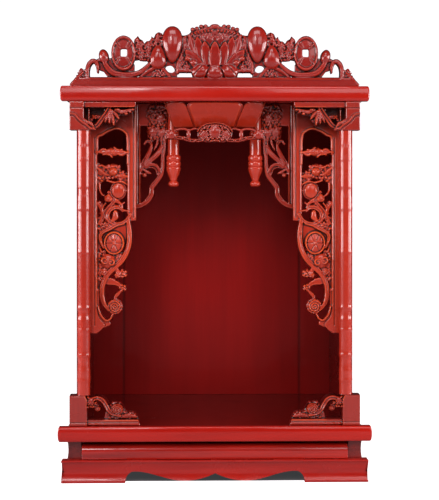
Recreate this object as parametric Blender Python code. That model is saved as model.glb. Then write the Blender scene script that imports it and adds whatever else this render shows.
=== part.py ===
"""Household altar cabinet in red lacquered wood: a tall niche between two bamboo posts, with carved
side panels and brackets, a canopy hung under the roof board, an openwork crest and a shallow drawer.

Metres, +Z up, the front towards -Y. The origin is the middle of the underside.
"""
import math

import bpy
import bmesh
import numpy as np
from mathutils import Matrix, Vector
from mathutils.geometry import delaunay_2d_cdt

# Sizes
MM = 0.001
GAP = 0.3 * MM                 # between pieces that touch
SLAB_WIDE = 480 * MM           # base slab, the widest piece
SLAB_DEEP = 330 * MM
SLAB_THICK = 23 * MM
NOSE_DEEP = 14 * MM            # front strip that runs past the sides of slab and roof
BODY_IN = 15.5 * MM            # slab behind that strip, in from its ends
PLINTH_TALL = 34.4 * MM
PLINTH_IN = 5 * MM             # in from the slab's ends
PLINTH_SET_BACK = 5 * MM       # behind the slab's front edge
PLINTH_THICK = 18 * MM
PLINTH_SIDE_IN = 10 * MM       # side boards and back, in from the ends of the front board
COVE = 4.2 * MM                # depth of the hollow in the plinth's face
LIP = 2.5 * MM                 # plain lip above and below it
APRON_FOOT = 137.5 * MM        # from the middle, where the front feet end
APRON_PEAK = 124 * MM
APRON_LOBE = 47 * MM
APRON_HIGH = 17 * MM
APRON_LOW = 3 * MM
APRON_MIDDLE = 13.7 * MM
BOTTOM_THICK = 5 * MM
WAIST_TALL = 28.5 * MM
WAIST_IN = 13.5 * MM
WAIST_RAIL = 21 * MM
WAIST_HOLLOW = 1.5 * MM
WAIST_SET_BACK = 18 * MM
WAIST_BACK_IN = 10 * MM        # in from the plinth's back
WAIST_BACK_THICK = 12 * MM
BRACKET_THICK = 24 * MM        # base and capital blocks, front to back
BRACKET_IN = 17.5 * MM
BRACKET_SET_BACK = 7 * MM
BASE_BRACKET_TALL = 46.2 * MM
BASE_BRACKET_LONG = 108 * MM
CAPITAL_TALL = 44.3 * MM
CAPITAL_LONG = 101.5 * MM
POST_RADIUS = 10.75 * MM
POST_IN = 21 * MM              # from the blocks' outer ends to a post's axis
POST_TALL = 405.4 * MM
POST_CLEAR = 1.75 * MM         # between a post and the side panel behind it
ROOF_IN = 3 * MM
ROOF_BODY_IN = 10 * MM
ROOF_THICK = 23.2 * MM
ROOF_SET_BACK = 5 * MM
ROOF_BACK_IN = 2 * MM
CREST_TALL = 97 * MM
CREST_THICK = 18 * MM
CREST_SET_BACK = 12 * MM       # behind the roof board's front edge
WALL_IN = 9 * MM               # from the blocks' outer ends to a side wall
WALL_THICK = 5.5 * MM
BACK_THICK = 10 * MM
BACK_OVERHANG = 13 * MM        # slab past the back wall
SIDE_PANEL_TALL = 358.4 * MM
SIDE_PANEL_WIDE = 86 * MM
SIDE_PANEL_THICK = 12 * MM
SPANDREL_TALL = 166.8 * MM
SPANDREL_THICK = 12 * MM
SPANDREL_LAP = 3 * MM          # its stile behind the side panel's stile
VALANCE_WIDE = 153.8 * MM
VALANCE_TALL = 32.3 * MM
VALANCE_DROP = 63 * MM         # from the roof board's underside to its lower edge
PENDANT_AT = 64.4 * MM
PENDANT_SHAFT = 9 * MM
PENDANT_BULB = 11.6 * MM
PENDANT_DROP = 130.7 * MM      # from the roof board's underside to the tip
PENDANT_DEPTH = 61 * MM        # behind the slab's front edge
CANOPY_TALL = 39.5 * MM
CANOPY_THICK = 4.5 * MM
CANOPY_TOP = ((46.4 * MM, 12 * MM), (79 * MM, 28 * MM))       # half width, behind the slab's front
CANOPY_LOW = ((31 * MM, 36 * MM), (64.5 * MM, 44 * MM))
DRAWER_TALL = 22.4 * MM
DRAWER_FRONT_THICK = 14 * MM
DRAWER_SET_BACK = 12 * MM
DRAWER_BACK_CLEAR = 17.7 * MM  # between the tray and the waist's back rail
DRAWER_SIDE = 7 * MM
DRAWER_BOTTOM = 3 * MM
DRAWER_BOTTOM_UP = 1 * MM
DRAWER_TRAY_IN = 0.5 * MM      # tray narrower than the front board at each end
DRAWER_PLAY = 0.5 * MM         # under the drawer
DRAWER_SIDE_PLAY = 1.2 * MM    # between the drawer and a waist rail

# Widths, levels and depths that follow
PLINTH_WIDE = SLAB_WIDE - 2 * PLINTH_IN
WAIST_WIDE = SLAB_WIDE - 2 * WAIST_IN
ROOF_WIDE = SLAB_WIDE - 2 * ROOF_IN
BRACKET_OUTER = SLAB_WIDE / 2 - BRACKET_IN
POST_AT = BRACKET_OUTER - POST_IN
NICHE_HALF = BRACKET_OUTER - WALL_IN - WALL_THICK
SIDE_PANEL_INNER = NICHE_HALF - SIDE_PANEL_WIDE
SPANDREL_OUTER = SIDE_PANEL_INNER + SPANDREL_LAP
DRAWER_WIDE = WAIST_WIDE - 2 * (WAIST_RAIL + DRAWER_SIDE_PLAY)
SLAB_FRONT = -SLAB_DEEP / 2
SLAB_BACK = SLAB_DEEP / 2
WAIST_END = SLAB_BACK - PLINTH_SET_BACK - WAIST_BACK_IN
WAIST_BACK_FACE = WAIST_END - WAIST_BACK_THICK
Z_WAIST = PLINTH_TALL + GAP
Z_SLAB = Z_WAIST + WAIST_TALL + GAP
Z_NICHE = Z_SLAB + SLAB_THICK + GAP
Z_POST = Z_NICHE + BASE_BRACKET_TALL + GAP
Z_CAPITAL = Z_POST + POST_TALL + GAP
Z_ROOF = Z_CAPITAL + CAPITAL_TALL + GAP
Z_UNDER_ROOF = Z_ROOF - GAP
Z_CREST = Z_ROOF + ROOF_THICK + GAP
BRACKET_FRONT = SLAB_FRONT + BRACKET_SET_BACK
POST_DEPTH = BRACKET_FRONT + BRACKET_THICK / 2
PANEL_BACK = POST_DEPTH + POST_RADIUS + POST_CLEAR + SIDE_PANEL_THICK
WALL_FRONT = BRACKET_FRONT + BRACKET_THICK + GAP
BACK_FACE = SLAB_BACK - BACK_OVERHANG - BACK_THICK
PENDANT_Y = SLAB_FRONT + PENDANT_DEPTH
ROOF_FRONT = SLAB_FRONT + ROOF_SET_BACK

# Board edges
EDGE_FACETS = 6
EDGE_ROUND = 0.28              # 1 is a full half round
DRAWER_SIDE_SHARE = 0.8        # height of the tray's sides in the drawer's
DRAWER_FLAT_SHARE = 0.5        # flat part of the front board, below its rounded top
DRAWER_ROUND_SHARE = 0.75      # depth of that rounding in the board's thickness

# Colours
BRIGHT_RED = (0.42, 0.030, 0.018, 1.0)
DEEP_RED = (0.12, 0.012, 0.010, 1.0)
TRAY_WOOD = (0.30, 0.15, 0.07, 1.0)
DARK_PIECES = ("waist", "back_wall", "side_wall", "bottom_board")
TRAY_PIECES = ("drawer_side", "drawer_back", "drawer_bottom")


# Plain builders

def clear_scene():
    for obj in list(bpy.data.objects):
        bpy.data.objects.remove(obj)


def add_object(name, verts, faces):
    """One closed solid from its corners and faces, with its faces turned outwards."""
    mesh = bpy.data.meshes.new(name)
    mesh.from_pydata([tuple(v) for v in verts], [], [tuple(f) for f in faces])
    bm = bmesh.new()
    bm.from_mesh(mesh)
    bmesh.ops.recalc_face_normals(bm, faces=bm.faces)
    if bm.calc_volume(signed=True) < 0:
        bmesh.ops.reverse_faces(bm, faces=bm.faces)
    bmesh.ops.triangulate(bm, faces=bm.faces)
    bm.to_mesh(mesh)
    bm.free()
    middle = sum((Vector(corner) for corner in verts), Vector()) / len(verts)
    mesh.transform(Matrix.Translation(-middle))
    obj = bpy.data.objects.new(name, mesh)
    obj.location = middle
    obj.data.materials.append(lacquer(name))
    bpy.context.scene.collection.objects.link(obj)
    return obj


def lacquer(name):
    """The piece's own material: bright red lacquer in front, darker inside, bare wood in the tray."""
    shade = BRIGHT_RED
    if name.startswith(DARK_PIECES):
        shade = DEEP_RED
    if name.startswith(TRAY_PIECES):
        shade = TRAY_WOOD
    material = bpy.data.materials.new(name)
    material.use_nodes = True
    surface = material.node_tree.nodes["Principled BSDF"]
    surface.inputs["Base Color"].default_value = shade
    surface.inputs["Roughness"].default_value = 0.55 if shade is TRAY_WOOD else 0.22
    surface.inputs["Metallic"].default_value = 0.0
    return material


def loft(name, rings):
    """A solid through closed rings of equal length, capped at both ends."""
    count = len(rings[0])
    verts = [p for ring in rings for p in ring]
    faces = []
    for level in range(len(rings) - 1):
        low = level * count
        for i in range(count):
            j = (i + 1) % count
            faces.append((low + i, low + j, low + count + j, low + count + i))
    faces.append(tuple(range(count)))
    faces.append(tuple(range((len(rings) - 1) * count, len(rings) * count)))
    return add_object(name, verts, faces)


def box(name, x0, x1, y0, y1, z0, z1):
    rings = [[(x0, y0, z), (x1, y0, z), (x1, y1, z), (x0, y1, z)] for z in (z0, z1)]
    return loft(name, rings)


def lathe(name, centre, profile, segments):
    """A turned solid: profile is radius and height pairs from the bottom up."""
    cx, cy = centre
    rings = []
    for radius, z in profile:
        ring = []
        for i in range(segments):
            turn = math.tau * (i + 0.5) / segments
            ring.append((cx + radius * math.cos(turn), cy + radius * math.sin(turn), z))
        rings.append(ring)
    return loft(name, rings)


def nosed_board(name, half_wide, body_half, front, back, z0, thick):
    """A board whose rounded front strip runs past its plain sides by a short ear at each end."""
    radius = thick / 2
    ear = front + NOSE_DEEP
    rings = []
    for i in range(EDGE_FACETS + 1):
        turn = math.pi * i / EDGE_FACETS
        z = z0 + radius * (1 - math.cos(turn))
        inset = radius * (1 - math.sin(turn)) * EDGE_ROUND
        x = half_wide - inset
        y = front + inset
        rings.append([(-x, y, z), (x, y, z), (x, ear, z), (body_half, ear, z), (body_half, back, z),
                      (-body_half, back, z), (-body_half, ear, z), (-x, ear, z)])
    return loft(name, rings)


# Carved boards
# A carving is a list of forms in drawing units, on a board seen from the front. Every form gives, for
# points on the board, how far inside its edge they lie and how high it stands off the board's back.

CELL = 0.8                     # grid on which an outline is found, in drawing units
OFF_GRID = 0.015               # keeps the grid off the forms' own straight edges
LEAST_HOLE = 3.0               # smaller openings are closed
EDGE_CLEAR = 0.45              # no point of the face lies nearer to the outline
EDGE_STEP = 0.5
EDGE_DROP = 0.86
LEAST_HIGH = 2.2               # no carving is thinner


def smooth_path(points, steps=5, closed=False):
    """A rounded curve through a few points."""
    pts = [np.array(p, float) for p in points]
    count = len(pts)
    path = []
    last = count if closed else count - 1
    for i in range(last):
        p0 = pts[(i - 1) % count] if closed or i > 0 else pts[0]
        p1 = pts[i]
        p2 = pts[(i + 1) % count]
        p3 = pts[(i + 2) % count] if closed or i + 2 < count else pts[-1]
        for k in range(steps):
            t = k / steps
            path.append(0.5 * (2 * p1 + (p2 - p0) * t + (2 * p0 - 5 * p1 + 4 * p2 - p3) * t ** 2
                               + (3 * p1 - p0 - 3 * p2 + p3) * t ** 3))
    if not closed:
        path.append(pts[-1])
    return np.array(path)


class Stroke:
    """A rounded ribbon along a curve, whose half width runs through the given values."""

    def __init__(self, points, widths, top, base=4.0):
        self.path = smooth_path(points)
        spread = np.linspace(0, 1, len(widths))
        self.half = np.interp(np.linspace(0, 1, len(self.path)), spread, widths)
        self.top = top
        self.base = base

    def field(self, p):
        best = np.full(len(p), -1e9)
        high = np.zeros(len(p))
        for a, b, ra, rb in zip(self.path, self.path[1:], self.half, self.half[1:]):
            ab = b - a
            t = np.clip(((p - a) @ ab) / max(ab @ ab, 1e-9), 0, 1)
            off = np.linalg.norm(p - a - t[:, None] * ab, axis=1)
            half = ra + (rb - ra) * t
            inside = half - off
            rise = np.sqrt(np.clip(1 - (off / half) ** 2, 0, 1))
            better = inside > best
            best = np.where(better, inside, best)
            high = np.where(inside > 0, np.maximum(high, rise), high)
        return best, self.base + (self.top - self.base) * high

    def marks(self):
        spots = []
        run = 1e9
        for i, p in enumerate(self.path):
            if i:
                run += np.linalg.norm(p - self.path[i - 1])
            if run > max(3.2, 1.3 * self.half[i]):
                spots.append(p)
                run = 0
        return spots, []


class Dome:
    """A rounded knob, or a rosette when it has lobes."""

    def __init__(self, at, radii, top, base=4.0, turn=0.0, lobes=0, dent=0.0):
        self.at = np.array(at, float)
        self.radii = radii
        self.top = top
        self.base = base
        self.turn = math.radians(turn)
        self.lobes = lobes
        self.dent = dent

    def field(self, p):
        q = p - self.at
        c, s = math.cos(self.turn), math.sin(self.turn)
        u = (q[:, 0] * c + q[:, 1] * s) / self.radii[0]
        v = (-q[:, 0] * s + q[:, 1] * c) / self.radii[1]
        r = np.hypot(u, v)
        if self.lobes:
            r = r / (1 - self.dent * (0.5 - 0.5 * np.cos(self.lobes * np.arctan2(v, u))))
        inside = (1 - r) * min(self.radii)
        return inside, self.base + (self.top - self.base) * np.sqrt(np.clip(1 - r * r, 0, 1))

    def marks(self):
        return [self.at] + self.ring_of(0.6, 6), self.ring_of(1.12, 10)

    def ring_of(self, share, count):
        c, s = math.cos(self.turn), math.sin(self.turn)
        spots = []
        for i in range(count):
            a = math.tau * i / count
            u = self.radii[0] * share * math.cos(a)
            v = self.radii[1] * share * math.sin(a)
            spots.append(self.at + np.array((u * c - v * s, u * s + v * c)))
        return spots


class Rim:
    """A raised oval band."""

    def __init__(self, at, radii, half, top, base=4.0):
        self.dome = Dome(at, radii, top, base)
        self.half = half
        self.top = top
        self.base = base

    def field(self, p):
        inside, _ = self.dome.field(p)
        away = np.abs(inside)
        return self.half - away, np.where(away < self.half, self.top, self.base)

    def marks(self):
        return self.dome.ring_of(1.0, 14), self.dome.ring_of(0.75, 9)


class Plate:
    """A flat area inside an outline."""

    def __init__(self, outline, top, rounded=False):
        self.path = smooth_path(outline, 3, True) if rounded else np.array(outline, float)
        self.top = top

    def field(self, p):
        gap = np.full(len(p), 1e9)
        odd = np.zeros(len(p), bool)
        for a, b in zip(self.path, np.roll(self.path, -1, axis=0)):
            ab = b - a
            t = np.clip(((p - a) @ ab) / max(ab @ ab, 1e-9), 0, 1)
            gap = np.minimum(gap, np.linalg.norm(p - a - t[:, None] * ab, axis=1))
            crosses = (a[1] > p[:, 1]) != (b[1] > p[:, 1])
            rise = b[1] - a[1] if abs(b[1] - a[1]) > 1e-9 else 1e-9
            odd ^= crosses & (p[:, 0] < a[0] + (p[:, 1] - a[1]) * (b[0] - a[0]) / rise)
        return np.where(odd, gap, -gap), np.full(len(p), float(self.top))

    def marks(self):
        return [], []


class Hole:
    """An opening cut through what stands before it in the list."""

    def __init__(self, form):
        self.form = form


def evaluate(forms, p, half_drawn):
    """Distance inside the carving and height off its back, in drawing units."""
    q = p.copy()
    if half_drawn:
        q[:, 0] = np.abs(q[:, 0])
    inside = np.full(len(q), -1e9)
    high = np.zeros(len(q))
    for form in forms:
        if isinstance(form, Hole):
            cut, _ = form.form.field(q)
            inside = np.minimum(inside, -cut)
            high = np.where(cut > 0, 0, high)
        else:
            own, own_high = form.field(q)
            high = np.where(own > 0, np.maximum(high, own_high), high)
            inside = np.maximum(inside, own)
    return inside, high


def contours(values, us, vs):
    """Closed outlines where the values cross zero on a grid."""
    links = {}
    table = {1: [(3, 0)], 2: [(0, 1)], 3: [(3, 1)], 4: [(1, 2)], 5: [(3, 2), (1, 0)], 6: [(0, 2)],
             7: [(3, 2)], 8: [(2, 3)], 9: [(2, 0)], 10: [(0, 3), (2, 1)], 11: [(2, 1)],
             12: [(1, 3)], 13: [(1, 0)], 14: [(0, 3)]}
    solid = values > 0
    code = (solid[:-1, :-1] * 1 + solid[:-1, 1:] * 2 + solid[1:, 1:] * 4 + solid[1:, :-1] * 8)

    def place(key):
        row, col, side = key
        other = (row, col + 1) if side == 0 else (row + 1, col)
        f0 = values[row, col]
        f1 = values[other]
        t = min(max(f0 / (f0 - f1), 0.08), 0.92)
        if side == 0:
            return us[col] + t * (us[col + 1] - us[col]), vs[row]
        return us[col], vs[row] + t * (vs[row + 1] - vs[row])

    for row, col in zip(*np.nonzero((code > 0) & (code < 15))):
        edges = ((row, col, 0), (row, col + 1, 1), (row + 1, col, 0), (row, col, 1))
        for start, end in table[int(code[row, col])]:
            links[edges[start]] = edges[end]
    loops = []
    while links:
        first = next(iter(links))
        loop = []
        key = first
        while key in links:
            loop.append(place(key))
            key = links.pop(key)
        loops.append(np.array(loop))
    return loops


def area_of(loop):
    x, y = loop[:, 0], loop[:, 1]
    return 0.5 * float(np.sum(x * np.roll(y, -1) - np.roll(x, -1) * y))


def simplify(loop, slack):
    """Fewer points on a closed outline, none further than slack from the old one."""
    far = int(np.argmax(np.linalg.norm(loop - loop[0], axis=1)))

    def thin(points):
        if len(points) < 3:
            return [points[0]]
        a, b = points[0], points[-1]
        ab = b - a
        length = max(np.linalg.norm(ab), 1e-9)
        off = np.abs(ab[0] * (points[:, 1] - a[1]) - ab[1] * (points[:, 0] - a[0])) / length
        k = int(np.argmax(off))
        if off[k] <= slack:
            return [a]
        return thin(points[:k + 1]) + thin(points[k:])

    whole = np.vstack([loop, loop[:1]])
    return np.array(thin(whole[:far + 1]) + thin(whole[far:]))


def within(points, loops):
    odd = np.zeros(len(points), bool)
    for loop in loops:
        for a, b in zip(loop, np.roll(loop, -1, axis=0)):
            crosses = (a[1] > points[:, 1]) != (b[1] > points[:, 1])
            rise = b[1] - a[1] if abs(b[1] - a[1]) > 1e-12 else 1e-12
            odd ^= crosses & (points[:, 0] < a[0] + (points[:, 1] - a[1]) * (b[0] - a[0]) / rise)
    return odd


def triangles(loops, loose):
    """Triangles between outlines, through loose points inside them."""
    points = []
    edges = []
    for loop in loops:
        start = len(points)
        points += [Vector(p) for p in loop]
        edges += [(start + i, start + (i + 1) % len(loop)) for i in range(len(loop))]
    fixed = len(points)
    points += [Vector(p) for p in loose]
    out, _, faces, *_ = delaunay_2d_cdt(points, edges, [], 0, 1e-6)
    if len(out) != len(points):
        raise ValueError("an outline crosses itself")
    faces = [f for f in faces if len(f) == 3]
    middles = np.array([sum((out[i] for i in f), Vector((0, 0))) / 3 for f in faces])
    keep = within(middles, loops)
    return fixed, [f for f, k in zip(faces, keep) if k]


def carve(name, forms, size, place, slack, spacing, half_drawn=False):
    """A carved board with a flat back, cut off at the edges of its drawing.

    size is the drawing's left, right, low and high edge; place turns drawing units and a height into
    a point; slack is how far the outline may stray, spacing the distance between points on its face.
    """
    u0, u1, v0, v1 = size
    us = np.arange(u0 - 2 * CELL, u1 + 3 * CELL, CELL) + OFF_GRID
    vs = np.arange(v0 - 2 * CELL, v1 + 3 * CELL, CELL) + OFF_GRID
    grid = np.array([(u, v) for v in vs for u in us])
    inside, _ = evaluate(forms, grid, half_drawn)
    inside = np.minimum(inside, np.minimum(grid[:, 0] - u0, u1 - grid[:, 0]))
    inside = np.minimum(inside, np.minimum(grid[:, 1] - v0, v1 - grid[:, 1]))
    loops = contours(inside.reshape(len(vs), len(us)), us, vs)
    outer = max(loops, key=lambda loop: abs(area_of(loop)))
    kept = [outer]
    for loop in loops:
        if loop is outer or abs(area_of(loop)) < LEAST_HOLE:
            continue
        if area_of(loop) * area_of(outer) < 0 and within(loop[:1], [outer])[0]:
            kept.append(loop)
    kept = [simplify(loop, slack) for loop in kept]
    rim = np.vstack(kept)
    spots = []
    first = [s for f in forms if not isinstance(f, Hole) for s in f.marks()[0]]
    later = [s for f in forms if not isinstance(f, Hole) for s in f.marks()[1]]
    if half_drawn:
        first = [s for p in first for s in ([p] if abs(p[0]) < 0.3 else [p, p * (-1, 1)])]
        later = [s for p in later if p[0] > 0.8 for s in (p, p * (-1, 1))]
    for group in (first, later):
        for spot in group:
            near = np.min(np.linalg.norm(rim - spot, axis=1))
            if near < spacing * 0.6:
                continue
            if spots and np.min(np.linalg.norm(np.array(spots) - spot, axis=1)) < spacing:
                continue
            spots.append(spot)
    spots = [s for s in spots if within(np.array([s]), kept)[0]]
    spots = [s for s in spots if edge_gap(s, kept) > EDGE_CLEAR]
    fixed, front = triangles(kept, spots)
    _, back = triangles(kept, [])
    flat = np.vstack([rim] + ([np.array(spots)] if spots else []))
    _, high = evaluate(forms, flat, half_drawn)
    high = np.maximum(high, LEAST_HIGH)
    high[:fixed] = rim_heights(forms, rim, half_drawn)
    verts = [place(p[0], p[1], h) for p, h in zip(flat, high)]
    start = len(verts)
    verts += [place(p[0], p[1], 0.0) for p in rim]
    faces = [tuple(f) for f in front]
    faces += [(start + c, start + b, start + a) for a, b, c in back]
    at = 0
    for loop in kept:
        count = len(loop)
        for i in range(count):
            a, b = at + i, at + (i + 1) % count
            faces.append((a, b, start + b, start + a))
        at += count
    return add_object(name, verts, faces)


def edge_gap(spot, loops):
    best = 1e9
    for loop in loops:
        a = loop
        ab = np.roll(loop, -1, axis=0) - a
        t = np.clip(np.sum((spot - a) * ab, axis=1) / np.maximum(np.sum(ab * ab, axis=1), 1e-9), 0, 1)
        best = min(best, float(np.min(np.linalg.norm(spot - a - t[:, None] * ab, axis=1))))
    return best


def rim_heights(forms, rim, half_drawn):
    """Front height at each outline point: a little under what is read just inside the edge."""
    heights = []
    for dx, dy in ((EDGE_STEP, 0), (-EDGE_STEP, 0), (0, EDGE_STEP), (0, -EDGE_STEP)):
        _, high = evaluate(forms, rim + (dx, dy), half_drawn)
        heights.append(high)
    return np.maximum(np.max(heights, axis=0) * EDGE_DROP, LEAST_HIGH)


def board_place(side, start, across, up, foot, back):
    """Drawing units to a point: side -1 mirrors the board, across and up are its unit sizes."""
    def place(u, v, h):
        return side * (start + u * across), back - h * MM, foot + v * up
    return place


# Base: plinth, waist, bottom board and slab

def cove_inset(z):
    """How far the plinth's face is hollowed at a height."""
    if z <= LIP or z >= PLINTH_TALL - LIP:
        return 0.0
    t = (z - LIP) / (PLINTH_TALL - 2 * LIP)
    return COVE * math.sin(math.pi * t) ** 0.6


def apron_low(x):
    """Lower edge of the front board: feet, two hanging lobes and a cusp in the middle."""
    a = abs(x)
    if a >= APRON_FOOT:
        return 0.0
    if a >= APRON_PEAK:
        t = (APRON_FOOT - a) / (APRON_FOOT - APRON_PEAK)
        return APRON_HIGH * math.sqrt(1 - (1 - t) ** 2)
    if a >= APRON_LOBE:
        t = (APRON_PEAK - a) / (APRON_PEAK - APRON_LOBE)
        return APRON_LOW + (APRON_HIGH - APRON_LOW) * (0.5 + 0.5 * math.cos(math.pi * t))
    t = (APRON_LOBE - a) / APRON_LOBE
    return APRON_LOW + (APRON_MIDDLE - APRON_LOW) * t ** 2


def plinth_board(name, half_long, face, thick, low, stations, along_x, coved_ends):
    """A plinth board. face is the signed place of its outer face across the board."""
    outward = 1 if face > 0 else -1
    levels = (0.0, 0.1, 0.3, 0.7, 0.9, 1.0)
    rings = []
    for station in stations:
        end = abs(abs(station) - half_long) < 1e-9
        foot = low(station)
        outer = []
        inner = []
        for share in levels:
            z = foot + (PLINTH_TALL - foot) * share
            inset = cove_inset(z)
            along = station
            if end and coved_ends:
                along = math.copysign(half_long - inset, station)
            outer.append((along, face - outward * inset, z))
            if share in (0.0, 1.0):
                inner.append((along, face - outward * thick, z))
        ring = outer + inner[::-1]
        if along_x:
            rings.append(ring)
        else:
            rings.append([(across, along, z) for along, across, z in ring])
    return loft(name, rings)


def build_base():
    half = PLINTH_WIDE / 2
    front = SLAB_FRONT + PLINTH_SET_BACK
    bends = [APRON_FOOT, APRON_FOOT - 1 * MM, APRON_FOOT - 5 * MM, APRON_PEAK]
    bends += [APRON_LOBE + (APRON_PEAK - APRON_LOBE) * share for share in (0.79, 0.56, 0.3)]
    bends += [APRON_LOBE * share for share in (1.0, 0.7, 0.38, 0.17)]
    stations = [-half, -(half - 6 * MM)] + [-b for b in bends] + [0.0] + bends[::-1]
    stations += [half - 6 * MM, half]
    plinth_board("plinth_front", half, front, PLINTH_THICK, apron_low, stations, True, True)
    face = half - PLINTH_SIDE_IN
    plain = [-face, -(face - 6 * MM), face - 6 * MM, face]
    plinth_board("plinth_back", face, -front, PLINTH_THICK, lambda x: 0.0, plain, True, True)
    reach = -front - PLINTH_THICK - GAP
    for name, side in (("plinth_left", -1), ("plinth_right", 1)):
        plinth_board(name, reach, side * face, PLINTH_THICK, lambda y: 0.0, [-reach, reach], False,
                     False)
    inner = face - PLINTH_THICK - GAP
    box("bottom_board", -inner, inner, -reach, reach, PLINTH_TALL - BOTTOM_THICK, PLINTH_TALL)

    rail_front = SLAB_FRONT + WAIST_SET_BACK
    for name, side in (("waist_left", -1), ("waist_right", 1)):
        section = []
        for i in range(9):
            t = i / 8
            outer = WAIST_WIDE / 2 - WAIST_HOLLOW * math.sin(math.pi * t)
            section.append((side * outer, Z_WAIST + WAIST_TALL * t))
        section.append((side * (WAIST_WIDE / 2 - WAIST_RAIL), Z_WAIST + WAIST_TALL))
        section.append((side * (WAIST_WIDE / 2 - WAIST_RAIL), Z_WAIST))
        loft(name, [[(x, y, z) for x, z in section] for y in (rail_front, WAIST_END)])
    inner = WAIST_WIDE / 2 - WAIST_RAIL - GAP
    box("waist_back", -inner, inner, WAIST_BACK_FACE, WAIST_END, Z_WAIST, Z_WAIST + WAIST_TALL)
    nosed_board("base_slab", SLAB_WIDE / 2, SLAB_WIDE / 2 - BODY_IN, SLAB_FRONT, SLAB_BACK, Z_SLAB,
                SLAB_THICK)


# Drawer: a loose shallow tray between the waist rails

def build_drawer():
    half = DRAWER_WIDE / 2
    z0 = PLINTH_TALL + DRAWER_PLAY
    face = SLAB_FRONT + DRAWER_SET_BACK
    back = face + DRAWER_FRONT_THICK
    section = [(back, z0), (face, z0), (face, z0 + DRAWER_TALL * DRAWER_FLAT_SHARE)]
    for i in range(1, 6):
        turn = math.pi / 2 * i / 5
        y = face + DRAWER_FRONT_THICK * DRAWER_ROUND_SHARE * (1 - math.cos(turn))
        rise = DRAWER_FLAT_SHARE + (1 - DRAWER_FLAT_SHARE) * math.sin(turn)
        section.append((y, z0 + DRAWER_TALL * rise))
    section.append((back, z0 + DRAWER_TALL))
    loft("drawer_front", [[(x, y, z) for y, z in section] for x in (-half, half)])
    side_top = z0 + DRAWER_TALL * DRAWER_SIDE_SHARE
    tray = back + GAP
    end = WAIST_BACK_FACE - DRAWER_BACK_CLEAR
    outer = half - DRAWER_TRAY_IN
    inner = outer - DRAWER_SIDE
    for name, side in (("drawer_side_left", -1), ("drawer_side_right", 1)):
        edges = sorted((side * inner, side * outer))
        box(name, edges[0], edges[1], tray, end, z0, side_top)
    inner -= GAP
    box("drawer_back", -inner, inner, end - DRAWER_SIDE, end, z0, side_top)
    floor = z0 + DRAWER_BOTTOM_UP
    box("drawer_bottom", -inner, inner, tray, end - DRAWER_SIDE - GAP, floor, floor + DRAWER_BOTTOM)
    slide = bpy.data.objects.new("drawer_slide", None)
    slide.location = (0, face, z0)
    bpy.context.scene.collection.objects.link(slide)
    for obj in list(bpy.data.objects):
        if obj.type == "MESH" and obj.name.startswith("drawer_"):
            obj.location -= slide.location
            obj.parent = slide


# Niche: side walls, back wall, posts, roof

POST_PROFILE = ((0.0, 0.95), (0.048, 0.97), (0.055, 1.0), (0.062, 0.975), (0.125, 0.93), (0.15, 1.0),
                (0.158, 0.972), (0.238, 0.972), (0.245, 1.0), (0.253, 0.975), (0.311, 0.93),
                (0.33, 1.0), (0.338, 0.972), (0.534, 0.965), (0.54, 0.985), (0.546, 0.965),
                (0.697, 0.972), (0.704, 1.0), (0.712, 0.975), (0.774, 0.93), (0.79, 0.972),
                (0.885, 0.972), (0.892, 1.0), (0.9, 0.975), (0.964, 0.93), (1.0, 0.96))


def build_niche():
    z1 = Z_UNDER_ROOF
    for name, side in (("side_wall_left", -1), ("side_wall_right", 1)):
        edges = sorted((side * NICHE_HALF, side * (NICHE_HALF + WALL_THICK)))
        box(name, edges[0], edges[1], WALL_FRONT, BACK_FACE - GAP, Z_NICHE, z1)
    reach = NICHE_HALF + WALL_THICK
    box("back_wall", -reach, reach, BACK_FACE, BACK_FACE + BACK_THICK, Z_NICHE, z1)
    for name, side in (("post_left", -1), ("post_right", 1)):
        profile = [(POST_RADIUS * r, Z_POST + POST_TALL * share) for share, r in POST_PROFILE]
        lathe(name, (side * POST_AT, POST_DEPTH), profile, 12)
    nosed_board("roof_board", ROOF_WIDE / 2, ROOF_WIDE / 2 - ROOF_BODY_IN, ROOF_FRONT,
                SLAB_BACK - ROOF_BACK_IN, Z_ROOF, ROOF_THICK)


# Brackets at the posts' feet and heads, one carved piece with its block each

BASE_UNITS = (70.5, 31.1)
BASE_BRACKET = [
    Plate([(0, 0), (0, 31.1), (15.4, 31.1), (17.4, 27.0), (17.5, 0)], 24),
    Plate([(0, 0), (0, 5.8), (68.6, 5.8), (70.5, 0)], 20),
    Plate([(14, 30.0), (19.5, 30.0), (24.5, 28.4), (27.0, 23.0), (29.5, 19.5), (25, 17.0), (20.5, 18.4),
           (14, 19.0)], 15, True),
    Dome((20.6, 24.6), (4.8, 5.2), 21, 10),
    Stroke([(19.0, 25.0), (23.4, 27.2), (28.4, 28.0), (32.8, 25.8), (36.0, 21.0), (38.8, 15.8),
            (43.0, 12.0), (50.0, 10.0)], [2.0, 2.7, 2.9, 2.8, 2.4, 1.8], 21, 9),
    Dome((27.8, 16.8), (3.8, 3.4), 17, 8),
    Plate([(33.5, 5), (35.4, 12.5), (38.8, 17.0), (41, 21.0), (44, 24.0), (47.6, 23.0), (50.2, 23.4),
           (53.4, 19.4), (55.6, 14.6), (58.6, 12.4), (62.0, 13.6), (65.0, 12.2), (67.4, 8.6),
           (69.2, 5)], 12),
    Dome((47.0, 15.8), (6.6, 6.2), 22, 11),
    Stroke([(52, 8.6), (59, 9.8), (66.5, 8.4)], [1.6, 2.6, 1.2], 16, 10),
]

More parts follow.
